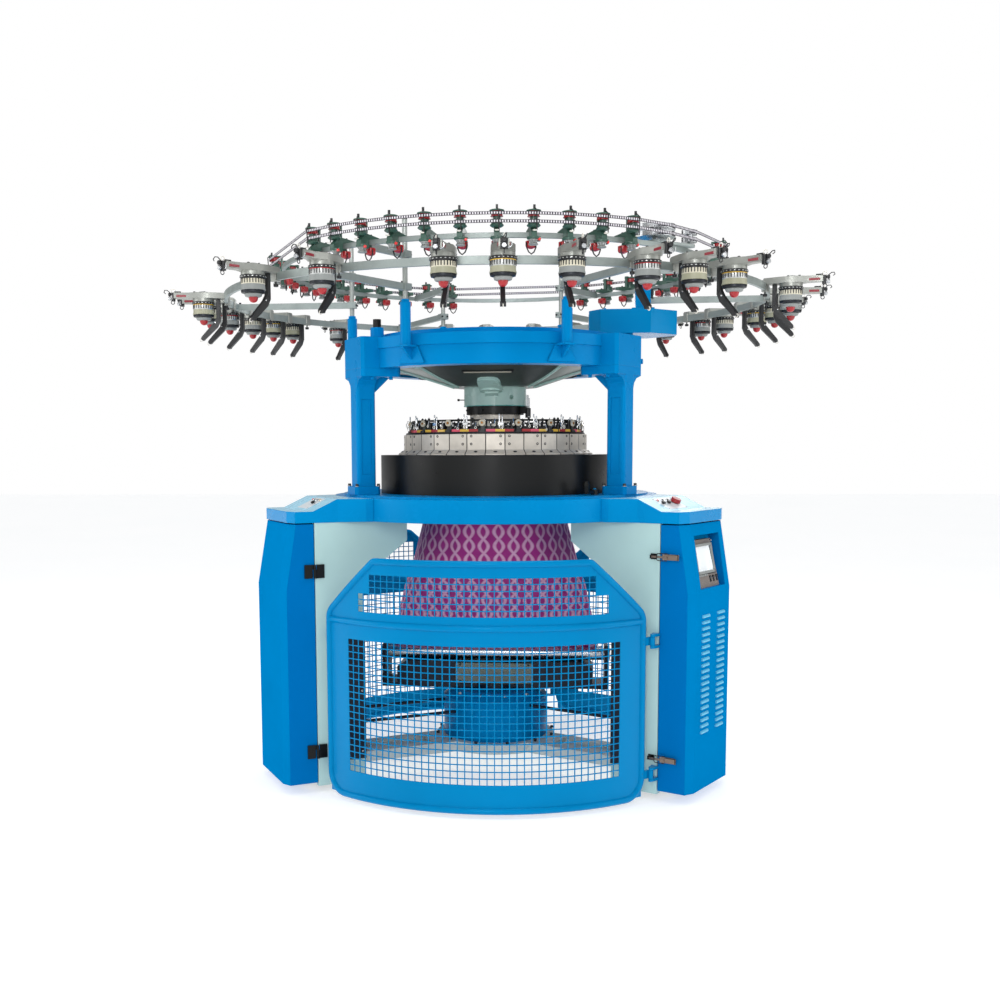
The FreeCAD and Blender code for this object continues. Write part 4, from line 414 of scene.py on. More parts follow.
# painted highlight: a light copy of the blue paint for the louvre hoods, standing for the highlights on them
BLUE_LOUVRE_HIGHLIGHT = painted("paint_blue_pressed_painted_highlight", "5FB6DA", rough=0.3, coat=0.05, gloss=0.4, tint=COOL)
PANEL = painted("paint_grey_green", "B0D0CE", rough=0.42, coat=0.05)
HOUSING = painted("paint_housing", "AACAC3", rough=0.28, coat=0.25, rounding=0.002)
DISH = painted("paint_dish", "5E6B63", rough=0.34, coat=0.08, rounding=0.002)
DISH_DARK = painted("paint_dish_shadowed", "363D3A", rough=0.34, coat=0.06, rounding=0.002)
NAVY = painted("paint_navy", "0B1A2B", rough=0.4, coat=0.1, gloss=0.25)
STONE = painted("paint_light_grey", "C3CCCB", rough=0.4, coat=0.1)
OLIVE = painted("paint_olive_grey", "7C8478", rough=0.45, coat=0.05)
SILVER = metal("satin_silver", "D0C9BE", rough=0.42, metallic=0.35)
STEEL = metal("ground_steel", "C2C4C6", rough=0.24)
RING_GREY = metal("ring_aluminium", "9AA3A0", rough=0.42, metallic=0.5)
POST = metal("post_steel", "A3A8A4", rough=0.36, metallic=0.6)
ALUMINIUM = metal("turned_aluminium", "C4C6C4", rough=0.3, metallic=0.7)
CAST = metal("cast_aluminium", "A3A59F", rough=0.36, grain=180.0, strength=0.3, metallic=0.55)
LATCH = metal("latch_metal", "86766A", rough=0.34, metallic=0.8)
CHROME = metal("chromed_steel", "DDDEDF", rough=0.1, strength=0.04)
GUNMETAL = metal("blackened_steel", "34363A", rough=0.4, metallic=0.85)
BLACK_SATIN = painted("satin_black", "090A0A", rough=0.32, coat=0.0, peel=0.15, gloss=0.24)
BLACK = moulded("black_nylon", "1B1C1E", rough=0.42)
DARK_GREEN = moulded("dark_green_nylon", "1F2E2A", rough=0.4, coat=0.1)
GREEN = moulded("green_nylon", "35574A", rough=0.36, coat=0.15)
GREY = moulded("grey_plastic", "8E9290", rough=0.45)
GREY_DARK = moulded("warm_grey_plastic", "7D7570", rough=0.42)
PLATE = moulded("white_plate", "DDE3E6", rough=0.3, coat=0.3, strength=0.1)
PUTTY = moulded("putty_plastic", "A5A48C", rough=0.4, coat=0.1)
BEIGE = moulded("beige_plastic", "B9B2A0", rough=0.42, coat=0.1)
RED = moulded("red_plastic", "A81019", rough=0.3, coat=0.3, strength=0.15)
YELLOW = moulded("yellow_plastic", "E2B53A", rough=0.35, coat=0.2)
CERAMIC = moulded("glazed_ceramic", "EDE9DF", rough=0.15, coat=0.6, strength=0.05)
BRONZE = metal("bronze", "9A6A3C", rough=0.35)
PINK = moulded("pink_plastic", "E0506A", rough=0.4)
IVORY = moulded("ivory_plastic", "D8D2BC", rough=0.38, coat=0.15)
DARK_RED = moulded("dark_red_plastic", "8C2430", rough=0.35, coat=0.2)
LAMP_RED = moulded("red_lamp", "E8302C", rough=0.2, coat=0.6, strength=0.05)
TEAL = painted("teal_edge", "4FB3AC", rough=0.35)

WHITE, NONE = (1.0, 1.0, 1.0), (0.0, 0.0, 0.0)
CHAIN_WIDTH, CHAIN_LENGTH = 0.064, 0.125
WALE, COURSE = 0.0022, 0.0018
BELT_HEIGHTS = (2191.0, 2163.0)
BELT_CIRCLE, HOLE_PITCH = 0.973, 0.0095


def knitted_cloth():
    """Fine jersey with a generic pattern: pale strands that cross in chains on a magenta ground."""
    s = Shader("knitted_cloth")
    runs = s.node("UVMap")
    runs.uv_map = "courses"
    along, drop, _ = s.node("SeparateXYZ", Vector=runs.outputs["UV"]).outputs
    column = s.math("SUBTRACT", s.math("FRACT", s.times(along, 1 / CHAIN_WIDTH)), 0.5)
    sway = s.times(s.wave(drop, CHAIN_LENGTH), 0.3)
    one = s.apart(column, sway)
    two = s.math("ABSOLUTE", s.math("ADD", column, sway))
    strand = s.math("MINIMUM", one, two)
    tone = s.mix(s.noise(26.0, 4.0), linear("C03A90"), linear("98247A"))
    pale = s.mix(s.noise(60.0, 3.0), linear("F0C8DE"), linear("DF8CBA"))
    colour = s.mix(s.ramp(strand, (0.06, WHITE), (0.17, NONE)), tone, pale)
    wales, courses = s.wave(along, WALE), s.wave(drop, COURSE)
    rough = s.spread(s.noise(300.0), 0.75, 0.9)
    s.bump(s.times(s.math("ADD", wales, courses), 0.5), 0.35, 0.0006)
    return s.set(Base_Color=colour, Roughness=rough, Metallic=0.0, Sheen_Weight=0.25, Sheen_Roughness=0.5,
                 Specular_IOR_Level=0.2)


def toothed_tape():
    """The dark feeding tape, with its row of punched holes drawn as pale squares."""
    s = Shader("toothed_tape")
    x, y, z = s.node("SeparateXYZ", Vector=s.place).outputs
    turn = s.math("ARCTAN2", y, x)
    step = s.math("FRACT", s.times(turn, BELT_CIRCLE / HOLE_PITCH))
    rung = s.ramp(step, (0.46, NONE), (0.54, WHITE))
    levels = [s.apart(z, height * MM) for height in BELT_HEIGHTS]
    edge = s.ramp(s.times(s.math("MINIMUM", *levels), 100.0), (0.3, WHITE), (0.42, NONE))
    hole = s.times(rung, edge)
    tape = s.ramp(s.noise(40.0), (0.3, linear("2A2430")), (0.7, linear("3E3644")))
    colour = s.mix(hole, tape, linear("ECE9EE"))
    rough = s.spread(s.noise(90.0), 0.45, 0.6)
    s.bump(hole, 0.4, 0.0006)
    return s.set(Base_Color=colour, Roughness=rough, Metallic=0.0)


def glass_screen():
    """The display: smooth glass over a pale, blank screen with a faint glow."""
    s = Shader("display_glass")
    colour = s.ramp(s.noise(3.0), (0.3, linear("E4EAEC")), (0.7, linear("F6F9FA")))
    rough = s.spread(s.noise(40.0), 0.06, 0.12)
    return s.set(Base_Color=colour, Roughness=rough, Metallic=0.0, Coat_Weight=0.6, Coat_Roughness=0.03,
                 Emission_Color=(0.9, 0.95, 1.0, 1.0), Emission_Strength=0.2)


CLOTH = knitted_cloth()
TAPE = toothed_tape()
SCREEN = glass_screen()

NODE_FINISHES = (
    (STONE, "base_arms"), (PANEL, "side_panels"), (GREY, "leg_equipment"), (GREY_DARK, "control_panel"),
    (NAVY, "steel_frame takedown_frame"), (OLIVE, "takedown_guards"), (CLOTH, "fabric_tube"),
    (STEEL, "levelling_feet yarn_guide_ring needle_cylinder needle_dial quality_wheels belt_idler"),
    (STEEL, "takedown_roller_front takedown_roller_rear"),
    (BLUE_COVER_SHADED, "cover_left cover_right cover_rear"), (BLUE_BED_LIT, "leg_lids bed_plate"),
    (BLUE, "door_front door_right_rear door_left_rear door_brackets drive_box"),
    (BLUE_CAST, "columns bridge_ring post_sockets centre_gearbox"),
    (BLACK_SATIN, "cover_hinges block_knob clamp_ring skirt_guard hand_lever"),
    (LATCH, "latch_left_lower latch_left_upper latch_right_lower latch_right_upper"),
    (LATCH, "latch_rear_lower latch_rear_upper"), (RED, "stop_button feeder_pulleys"),
    (BLACK, "switch_1 switch_2 switch_3 start_button inch_button start_button_left storage_arms"),
    (DISH, "dial_dish"), (HOUSING, "dial_housing"), (SILVER, "cam_boxes"), (POST, "creel_posts"),
    (RING_GREY, "ring_spokes feeder_rings"), (CAST, "storage_housings"), (BEIGE, "storage_drums"),
    (GREEN, "feeder_bodies"), (TAPE, "feed_belts"),
)
FINISH = {name: finish for finish, names in NODE_FINISHES for name in names.split()}

for name, node in NODES.items():
    node.data.materials.clear()
    node.data.materials.append(FINISH[name])


# ---------------------------------------------------------------- faces with a finish of their own

DOORS = {"door_front": -90.0, "door_right_rear": 30.0, "door_left_rear": 150.0}
LEGS = {"left": -150.0, "right": -30.0, "rear": 90.0}
KNOB_SEAT, DIAL_FACE, DISH_FLOOR, DISH_ARM_ANGLE = 1874.0, 1462.0, 1722.0, 47.0
FACING = 0.5
UPWARD = 0.6
LEAF_HEIGHTS, LEAF_OUT, LEAF_SIDE = ((140, 198), (867, 925)), (893, 940), 201
GLASS_HEIGHTS, GLASS_SPAN, GLASS_SINK = (892, 996), (-84, 70), 40
RECESS_HEIGHTS, RECESS_HALF, RECESS_START = (1036, 1043), 116, 930
CASE_LOW, CASE_HIGH, CASE_FACE, CASE_LEAN, CASE_DEPTH = 823.0, 1055.0, 1029.0, 42.0, 43.7


def finish_faces(name, finish, chosen):
    """Gives the faces of one CAD node that chosen(x, y, z, normal) picks, in millimetres, a finish."""
    mesh = NODES[name].data
    mesh.materials.append(finish)
    slot = len(mesh.materials) - 1
    for polygon in mesh.polygons:
        if chosen(*(polygon.center / MM), polygon.normal):
            polygon.material_index = slot


def within(value, span):
    return span[0] < value < span[1]


def on_leg(angle, x, y):
    """Distance out along a leg, and sideways from its middle, of a point of the machine."""
    turn = radians(angle)
    return x * cos(turn) + y * sin(turn), y * cos(turn) - x * sin(turn)


# painted light: the faces picked here get a lighter copy of the cover paint
def facing_out(angle):
    """The outer faces of a leg's cover, which the photograph shows lighter than its flanks."""
    return lambda x, y, z, normal: on_leg(angle, normal.x, normal.y)[0] > FACING


def on_hinge_leaf(angle):
    def chosen(x, y, z, normal):
        out, across = on_leg(angle, x, y)
        return within(out, LEAF_OUT) and across > LEAF_SIDE and any(within(z, span) for span in LEAF_HEIGHTS)
    return chosen


def on_glass(x, y, z, normal):
    out, across = on_leg(LEGS["right"], x, y)
    slant = CASE_LEAN * (z - CASE_LOW) / (CASE_HIGH - CASE_LOW)
    in_frame = within(z, GLASS_HEIGHTS) and within(across, GLASS_SPAN)
    return in_frame and out > CASE_FACE - slant - GLASS_SINK


def on_recess_top(x, y, z, normal):
    out, across = on_leg(LEGS["right"], x, y)
    under_lid = normal.z < 0 and within(z, RECESS_HEIGHTS)
    return under_lid and abs(across) < RECESS_HALF and out > RECESS_START


def between_spider_arms(x, y, z, normal):
    """The underside of the dish in front of each door, which the photograph shows darker."""
    turn = degrees(atan2(y, x))
    aside = min(abs((turn - door + 180) % 360 - 180) for door in DOORS.values())
    return normal.z < 0 and z < DISH_FLOOR and aside < DISH_ARM_ANGLE


finish_faces("block_knob", BLUE_CAST, lambda x, y, z, normal: z < KNOB_SEAT)
finish_faces("needle_dial", SILVER, lambda x, y, z, normal: z > DIAL_FACE)
# painted reflection: the lids' upward faces get the pale blue paint
finish_faces("leg_lids", BLUE_TOP_REFLECTION, lambda x, y, z, normal: normal.z > UPWARD)
for side, leg in LEGS.items():
    finish_faces("cover_" + side, BLUE_OUTER_LIT, facing_out(leg))
    finish_faces("cover_" + side, BLACK_SATIN, on_hinge_leaf(leg))
finish_faces("control_panel", SCREEN, on_glass)
# painted shade: the top wall of the panel recess is painted navy for the shade under the lid
finish_faces("cover_right", NAVY, on_recess_top)
# painted shade: the dish's underside between the spider arms gets the darker dish paint
finish_faces("dial_dish", DISH_DARK, between_spider_arms)


# ---------------------------------------------------------------- guard doors

DOOR_RADIUS = 900.0
DOOR_HALF, DOOR_TOP_HALF = 42.6, 27.0
DOOR_LOW, DOOR_MID, DOOR_SHOULDER, DOOR_HIGH = 28.0, 716.0, 744.0, 955.0
DOOR_TUBE, DOOR_SHEET, MESH_BAR = 13.0, 2.5, 4.0
LOW_WINDOW = dict(half=35.5, low=125.0, high=650.0, columns=40, rows=20, full_rows=20, extra=0)
HIGH_WINDOW = dict(half=31.95, low=757.0, high=905.0, columns=36, rows=6, full_rows=3, extra=2)
HINGE_RADIUS, HINGE_ANGLE = 917.0, 44.9
HINGE_HEIGHTS = (96.0, 620.0)


def bar_lines(start, end, count, bar):
    """Both edges of each bar between count openings that fill start to end."""
    middles = [start + (end - start) * k / count for k in range(count + 1)]
    return [middle + offset for middle in middles for offset in (-bar / 2, bar / 2)]


def door_edge(height):
    """Half angle of the door's sheet at a height: full below the shoulder, drawn in above."""
    share = max(0.0, (height - DOOR_SHOULDER) / (DOOR_HIGH - DOOR_SHOULDER))
    return DOOR_HALF + (DOOR_TOP_HALF - DOOR_HALF) * share


def perforated(low, high, window):
    """The curved sheet between two heights with its field of square holes."""
    rows, columns, extra = window["rows"], window["columns"], window["extra"]
    margin = [-DOOR_HALF + 2.0 * k for k in range(3)]
    bars = bar_lines(-window["half"], window["half"], columns, degrees(MESH_BAR / DOOR_RADIUS))
    angles = margin + bars + [-a for a in margin[::-1]]
    shoulder_here = low < DOOR_SHOULDER < window["low"]
    heights = [low, DOOR_SHOULDER if shoulder_here else (low + window["low"]) / 2]
    heights += bar_lines(window["low"], window["high"], rows, MESH_BAR) + [high]
    corners = []
    for radius in (DOOR_RADIUS + DOOR_SHEET / 2, DOOR_RADIUS - DOOR_SHEET / 2):
        for height in heights:
            edge = door_edge(height)
            corners += [polar(radius, max(-edge, min(edge, angle)), height) for angle in angles]
    across, layer = len(angles), len(angles) * len(heights)

    def hole(row, column):
        r, c = row - 2, column - len(margin)
        inside = 0 <= r < 2 * rows + 1 and 0 <= c < 2 * columns + 1 and r % 2 and c % 2
        return inside and (r // 2 < window["full_rows"] or extra <= c // 2 < columns - extra)

    faces = []
    for row in range(len(heights) - 1):
        for column in range(across - 1):
            a = row * across + column
            quad = (a, a + 1, a + across + 1, a + across)
            if hole(row, column):
                faces += [(m, n, n + layer, m + layer) for m, n in zip(quad, quad[1:] + quad[:1])]
            else:
                faces += [quad, tuple(k + layer for k in quad[::-1])]
    return corners, faces


def guard_door(node, angle):
    """A guard door: round bent tube, curved perforated sheet, knuckles, straps and closing magnet."""
    piece = Piece(node + "_mesh", node)
    place = at(angle, 0)
    foot, top = radians(DOOR_RADIUS) * DOOR_HALF, radians(DOOR_RADIUS) * DOOR_TOP_HALF

    def tube(points, radii, step, closed):
        path = rounded_path(points, radii, step, closed)
        bent = [polar(DOOR_RADIUS, degrees(p.x / DOOR_RADIUS), p.y) for p in path]
        piece.add(sweep(bent, DOOR_TUBE, 12, closed), BLUE, place)

    tube([(-foot, DOOR_LOW), (foot, DOOR_LOW), (foot, DOOR_SHOULDER), (top, DOOR_HIGH), (-top, DOOR_HIGH),
          (-foot, DOOR_SHOULDER)], (80, 80, 60, 26, 26, 60), 42.0, True)
    tube([(-foot, DOOR_MID), (foot, DOOR_MID)], (0, 0), 30.0, False)
    piece.add(perforated(DOOR_LOW, DOOR_MID, LOW_WINDOW), BLUE, place)
    piece.add(perforated(DOOR_MID, DOOR_HIGH, HIGH_WINDOW), BLUE, place)
    for height in HINGE_HEIGHTS:
        piece.turn(at(angle + HINGE_ANGLE, HINGE_RADIUS, height),
                   (20, BLUE, (9.2, 0.4), (10, 1.2), (10, 32.8), (9.2, 33.6)))
        strap = block((DOOR_RADIUS - 3, -40, height + 1), (DOOR_RADIUS + 9, 2, height + 33), 3)
        piece.add(strap, BLUE, place @ at(DOOR_HALF + 2.2, 0))
        for rise in (9, 25):
            screw = at(DOOR_HALF - 0.2, DOOR_RADIUS + 7.5, height + rise) @ OUTWARD
            piece.add(cap_screw(3.2), GUNMETAL, place @ screw)
    for height in (DOOR_MID - 60, DOOR_LOW + 90):
        catch = block((DOOR_RADIUS - 22, -8, height), (DOOR_RADIUS - 12, 8, height + 30), 2)
        piece.add(catch, BLACK, place @ at(-DOOR_HALF, 0))
    door = piece.build()
    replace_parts(door, node)


# ---------------------------------------------------------------- bed, columns, bridge and head

BED_TOP, SEAT_TOP = 1180.0, 1188.0
CAM_BOTTOM, CAM_LID, CAM_TOP = 1350.0, 1436.0, 1442.0
CAM_INNER, CAM_RADIUS, CAM_FLARE = 317.0, 397.0, 25.0
CAM_COUNT, CAM_START = 32, -86.1
CAM_PITCH = 360.0 / CAM_COUNT
CAM_JOINT = 1.6
COLUMN_CIRCLE, BRIDGE_TOP = 612.0, 1826.0
HOUSING_TOP, HOUSING_BOTTOM, HOUSING_RADIUS = 1640.0, 1558.0, 135.0
SLOT_HEIGHT, SLOT_LEAN = 1577.5, -0.31
GUIDE_COUNT, GUIDE_CIRCLES = 192, (336, 352, 368)
BAND_TURN = 5.8


def cam_ring():
    """The cam boxes: chamfered blocks with flared feet, dark joints, screws at every second joint, slots."""
    piece = Piece("cam_ring")
    half = CAM_PITCH / 2 - 0.16
    face, flare = CAM_RADIUS, CAM_RADIUS + CAM_FLARE
    outline = [(CAM_INNER, CAM_BOTTOM), (flare - 1.2, CAM_BOTTOM), (flare, CAM_BOTTOM + 1.2),
               (flare, CAM_BOTTOM + 5), (face + 1.2, CAM_BOTTOM + 21), (face, CAM_BOTTOM + 23),
               (face, CAM_LID - 1.5), (face - 1.5, CAM_LID), (CAM_INNER, CAM_LID)]
    count = len(outline)
    reach = 1 / cos(radians(half)) - 0.0002
    joint = outline[:1] + [(radius * reach - 0.3, height) for radius, height in outline[1:]]
    strip = [Vector((radius, across, height))
             for across in (-CAM_JOINT, CAM_JOINT) for radius, height in joint]
    lean = Matrix.Rotation(pi / 2 - atan2(CAM_FLARE, 17.0), 4, "Y") @ Matrix.Diagonal((1.0, 1.6, 1.0, 1.0))
    for k in range(CAM_COUNT):
        middle = CAM_START + CAM_PITCH * k
        seam = middle + CAM_PITCH / 2
        corners = []
        for turn, shrink in ((-half, 1.4), (-half + 0.2, 0.0), (half - 0.2, 0.0), (half, 1.4)):
            stretch = 1 / cos(radians(turn))
            corners += [polar((radius - shrink * (radius > CAM_INNER)) * stretch, middle + turn, height)
                        for radius, height in outline]
        piece.add((corners, skin(3, count) + ends(3, count, True)), SILVER)
        piece.add((strip, ends(1, count, True) + skin(1, count)), BLACK_SATIN, at(seam, 0))
        if k % 2 == 0:
            for turn in (-2.6, 2.6):
                for height in (CAM_LID - 9, CAM_LID - 41):
                    piece.turn(at(seam + turn, CAM_RADIUS * 1.0012, height) @ OUTWARD,
                               (14, GUNMETAL, (5.2, -0.4), (5.2, 0.6), (4.4, 1.1), (2.6, 1.1), (2.4, -0.2)))
        piece.turn(at(middle, CAM_RADIUS + CAM_FLARE / 2, CAM_BOTTOM + 13.6) @ lean,
                   (14, BLACK, (4.8, -1), (4.8, 1.4), (4.2, 1.9), (2.4, 1.9), (2.2, 0.8)))
    piece.add(arc_bar(318, CAM_RADIUS - 7, CAM_LID - 2, CAM_TOP), BLACK_SATIN)
    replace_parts(piece.build(), "cam_boxes")


def latch_bails():
    """The wire loops of the toggle latches, with their tongues and grips."""
    half = ((930, -214, 14), (908, -218, 14), (892, -219, 13), (889, -219.5, 8))
    for side, leg in LEGS.items():
        for middle, level in ((171.0, "lower"), (961.0, "upper")):
            node = "latch_%s_%s" % (side, level)
            piece = Piece(node + "_bail", node)
            wire = [(x, y, middle - z) for x, y, z in half] + [(x, y, middle + z) for x, y, z in half[::-1]]
            piece.add(sweep(wire, 1.8, 8), GUNMETAL, at(leg, 0))
            piece.add(block((866, -219, middle - 4), (930, -215, middle + 4), 1), LATCH, at(leg, 0))
            piece.add(block((934, -221, middle - 9), (976, -217, middle + 9), 3), LATCH, at(leg, 0))
            piece.build()


def guide_fixture(piece, kind, tall, place):
    """What one of the crowded posts on the cam boxes carries: knob, reel, eye, block or bent wire."""
    if kind in (0, 3):
        piece.turn(place @ lift(tall), (10, BLACK, (3.4, 0), (5.2, 3), (5.2, 9), (2.5, 11)),
                   (6, CHROME, (1.6, 0), (1.6, 14)))
    elif kind == 1:
        piece.turn(place @ shift(2, -6, tall - 4) @ ACROSS,
                   (14, BLACK, (7, 0), (7, 3), (4.5, 4), (4.5, 8), (7, 9), (7, 12)))
    elif kind == 2:
        piece.add(hoop(6, 1.3, 12, 5), CHROME, place @ shift(6, 0, tall - 2) @ OUTWARD)
    elif kind == 4:
        piece.add(block((-10, -8, tall - 14), (8, 8, tall - 4), 2), BLACK, place)
        piece.add(cap_screw(3), CHROME, place @ shift(8, 0, tall - 9) @ OUTWARD)
    else:
        piece.add(sweep([(0, 0, tall - 2), (9, 3, tall + 7), (17, 3, tall - 12)], 1.7, 6), CHROME, place)
        piece.add(hoop(4, 1.2, 10, 5), CERAMIC, place @ shift(17, 3, tall - 16) @ OUTWARD)


def yarn_guides():
    """What stands on the cam boxes: carrier ring and posts, rollers, feeder bands, forks, wires, eyelets."""
    piece = Piece("yarn_guides")
    add = piece.add
    dice = random.Random(7)
    foot = CAM_TOP
    add(arc_bar(350, 364, 1488, 1496), BLACK_SATIN)
    add(arc_bar(341, 344, foot, foot + 26), BLACK_SATIN)
    add(arc_bar(362, 388, foot - 4, foot + 2), GUNMETAL)
    for k, angle in enumerate(even(16, CAM_START - 8.2)):
        add(block((338, -12, foot), (386, 12, foot + 10), 3), BLACK, at(angle, 0))
        add(block((354, -7, foot + 8), (378, 7, foot + 46), 2), BLACK, at(angle, 0))
        piece.turn(at(angle, 375, foot + 39) @ OUTWARD,
                   (20, BEIGE, (14, 0), (14, 5), (12.5, 7), (7, 7), (7, 6)),
                   (12, BRONZE, (5.0, 5), (5.0, 9), (3.8, 10)), (10, GUNMETAL, (6, -16), (6, 0)))
        first = angle + 2.4
        colours = ((PINK, YELLOW, RED), (RED, PINK, YELLOW), (YELLOW, RED, YELLOW))[k % 3]
        for j, finish in enumerate(colours):
            start = first + j * BAND_TURN
            add(arc_bar(366, 377, foot + 3, foot + 13, start, start + BAND_TURN, 4), finish)
            add(arc_bar(365, 375, foot + 14, foot + 19, start + 0.8, start + 4.2, 3), BLACK)
        add(arc_bar(357, 366, foot, foot + 17, first - 0.6, first + 18.6, 8), BLACK)
    for angle in even(16, CAM_START + 3.4):
        for across, tall in ((-6, 74), (6, 66)):
            piece.turn(at(angle, 372, foot, across), (10, CHROME, (2.8, 0), (2.8, tall - 3), (1.2, tall)))
        add(block((364, -11, foot + 30), (380, 12, foot + 40), 2), CHROME, at(angle, 0))
        add(hoop(6, 1.5, 14, 5), CERAMIC, at(angle, 382, foot + 22) @ OUTWARD)
    for k in range(GUIDE_COUNT):
        angle = CAM_START + 360 / GUIDE_COUNT * k + 0.9 * dice.random()
        radius = GUIDE_CIRCLES[k % 3] + 6 * dice.random()
        tall = 26 + 26 * dice.random()
        lean = at(angle, radius, foot) @ Matrix.Rotation(0.24 * (dice.random() - 0.5), 4, "X")
        kind = k % 6
        add(block((-4, -3.5, 0), (4, 3.5, tall), 1),
            (BLACK, BLACK_SATIN, DARK_GREEN, BLACK, GUNMETAL, BLACK)[kind], lean)
        guide_fixture(piece, kind, tall, lean)
    for angle in even(32, CAM_START + 5.6):
        add(cap_screw(3.6), STEEL, at(angle, 329, foot))
    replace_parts(piece.build(), "yarn_guide_ring")


def dial_fittings():
    """Seam, boss, thumb screw and pins round the dial housing, spider arms' edges, slot, collar bolts."""
    piece = Piece("dial_fittings")
    add, face = piece.add, HOUSING_RADIUS
    add(arc_bar(face - 4, face + 1.4, HOUSING_BOTTOM, HOUSING_BOTTOM + 3, steps=72), TEAL)
    add(block((face - 3, -5, HOUSING_BOTTOM + 2), (face + 2.5, 5, HOUSING_TOP - 20), 1), HOUSING, at(-87, 0))
    add(cap_screw(3.2), GUNMETAL, at(-90, face, HOUSING_BOTTOM + 46) @ OUTWARD)
    rise = Matrix.Rotation(-atan2(74.0, 230.0), 4, "Y")
    nose = mirrored([(-60, -48), (58, -48), (84, -42), (98, -28)], (102, 0))
    for scale, low, high in ((1.0, -8, 4), (0.92, -11, -8)):
        outline = [(x * scale, y * scale) for x, y in nose]
        add(prism(outline, low, high), HOUSING, at(-92.9, 186, HOUSING_TOP) @ rise)
    add(prism(oval(44, 50), -18, -2), HOUSING, at(-92.9, face + 14, HOUSING_TOP))
    piece.turn(at(182, face - 2, HOUSING_BOTTOM + 30) @ OUTWARD,
               (14, BLACK, (2.2, 0), (2.2, 22), (5, 23), (5.4, 30), (4, 32)))
    pin = at(-18, face + 18, 1530)
    add(block((-7, -2, 0), (7, 2, 62)), STEEL, pin)
    add(block((-7, -2, 62), (2, 2, 76)), STEEL, pin)
    piece.turn(pin, (14, BLACK, (12, -22), (12, 18), (9, 20)))
    for angle in even(8, 22.5):
        add(cap_screw(4), GUNMETAL, at(angle, 127, 1541) @ OUTWARD)
    for door in DOORS.values():
        for side in (-1, 1):
            edge = [polar(186 + 232 * t, door + side * (54 - 10 * t), HOUSING_TOP - 1 + 74 * t)
                    for t in (0, 0.25, 0.5, 0.75, 1)]
            add(sweep(edge + [polar(455, door + side * 43, HOUSING_TOP + 71)], 7, 8), HOUSING)
        lean = at(door - 1.5, 0, SLOT_HEIGHT) @ Matrix.Rotation(SLOT_LEAN, 4, "Y")
        # painted shade: a black plate stands for the dark inside of the slot, with a beige bar along its
        # middle
        add(block((343, -106, 0), (368, 106, 4), 6), BLACK, lean)
        add(block((350, -98, -1), (361, 98, 2), 2), BEIGE, lean)
    piece.build()


def bridge_fittings():
    """Bolts of the column feet and blocks, terminal box and stub."""
    piece = Piece("bridge_fittings")
    for angle in LEGS.values():
        for along in (-47, 47):
            for across in (-47, 47):
                place = at(angle, COLUMN_CIRCLE + along, SEAT_TOP + 34, across)
                piece.turn(place, (16, STEEL, (9, 0), (9, 2)))
                piece.add(cap_screw(6.5), BLACK, place @ lift(2))
        for across in (-88, 88):
            for radius in (520, 600):
                piece.add(cap_screw(8), BLUE_CAST, at(angle, radius, 1670, across) @ DOWN)
    piece.add(block((570, -30, BRIDGE_TOP - 46), (612, 30, BRIDGE_TOP - 4), 4), BEIGE, at(-11, 0))
    piece.turn(at(-15, 596, BRIDGE_TOP - 92) @ OUTWARD,
               (18, BLUE_CAST, (15, 0), (15, 30), (11, 34), (11, 52)))
    piece.build()


# ---------------------------------------------------------------- creel

RING_TOP, INNER_TOP = 2017.0, 2136.0
STORAGE_AXIS, PULLEY_CIRCLE = 1243.0, 950.0
STORAGE_ANGLES = (-169.0, -130.5, -114.5, -94.0, -85.0, -74.5, -62.0, -53.0, -43.5, -18.0, -3.0,
                  10.0, 19.0, 31.5, 39.0, 49.5, 64.0, 74.0, 84.0, 96.0, 106.0, 116.0,
                  134.5, 148.0, 154.5, 162.0, 172.0, -176.5)
FEEDER_ANGLES = [centre + 7.8 * k for centre in (-93.6, 26.4, 146.4) for k in range(-5, 6)]
DRUM_COLOURS = ((YELLOW, ALUMINIUM, PUTTY), (BLACK, IVORY, PUTTY), (RED, ALUMINIUM, GREY),
                (BLACK, IVORY, GREY))
POSTS = ((-120, 628), (-60, 628), (180, 628), (60, 560), (120, 560))


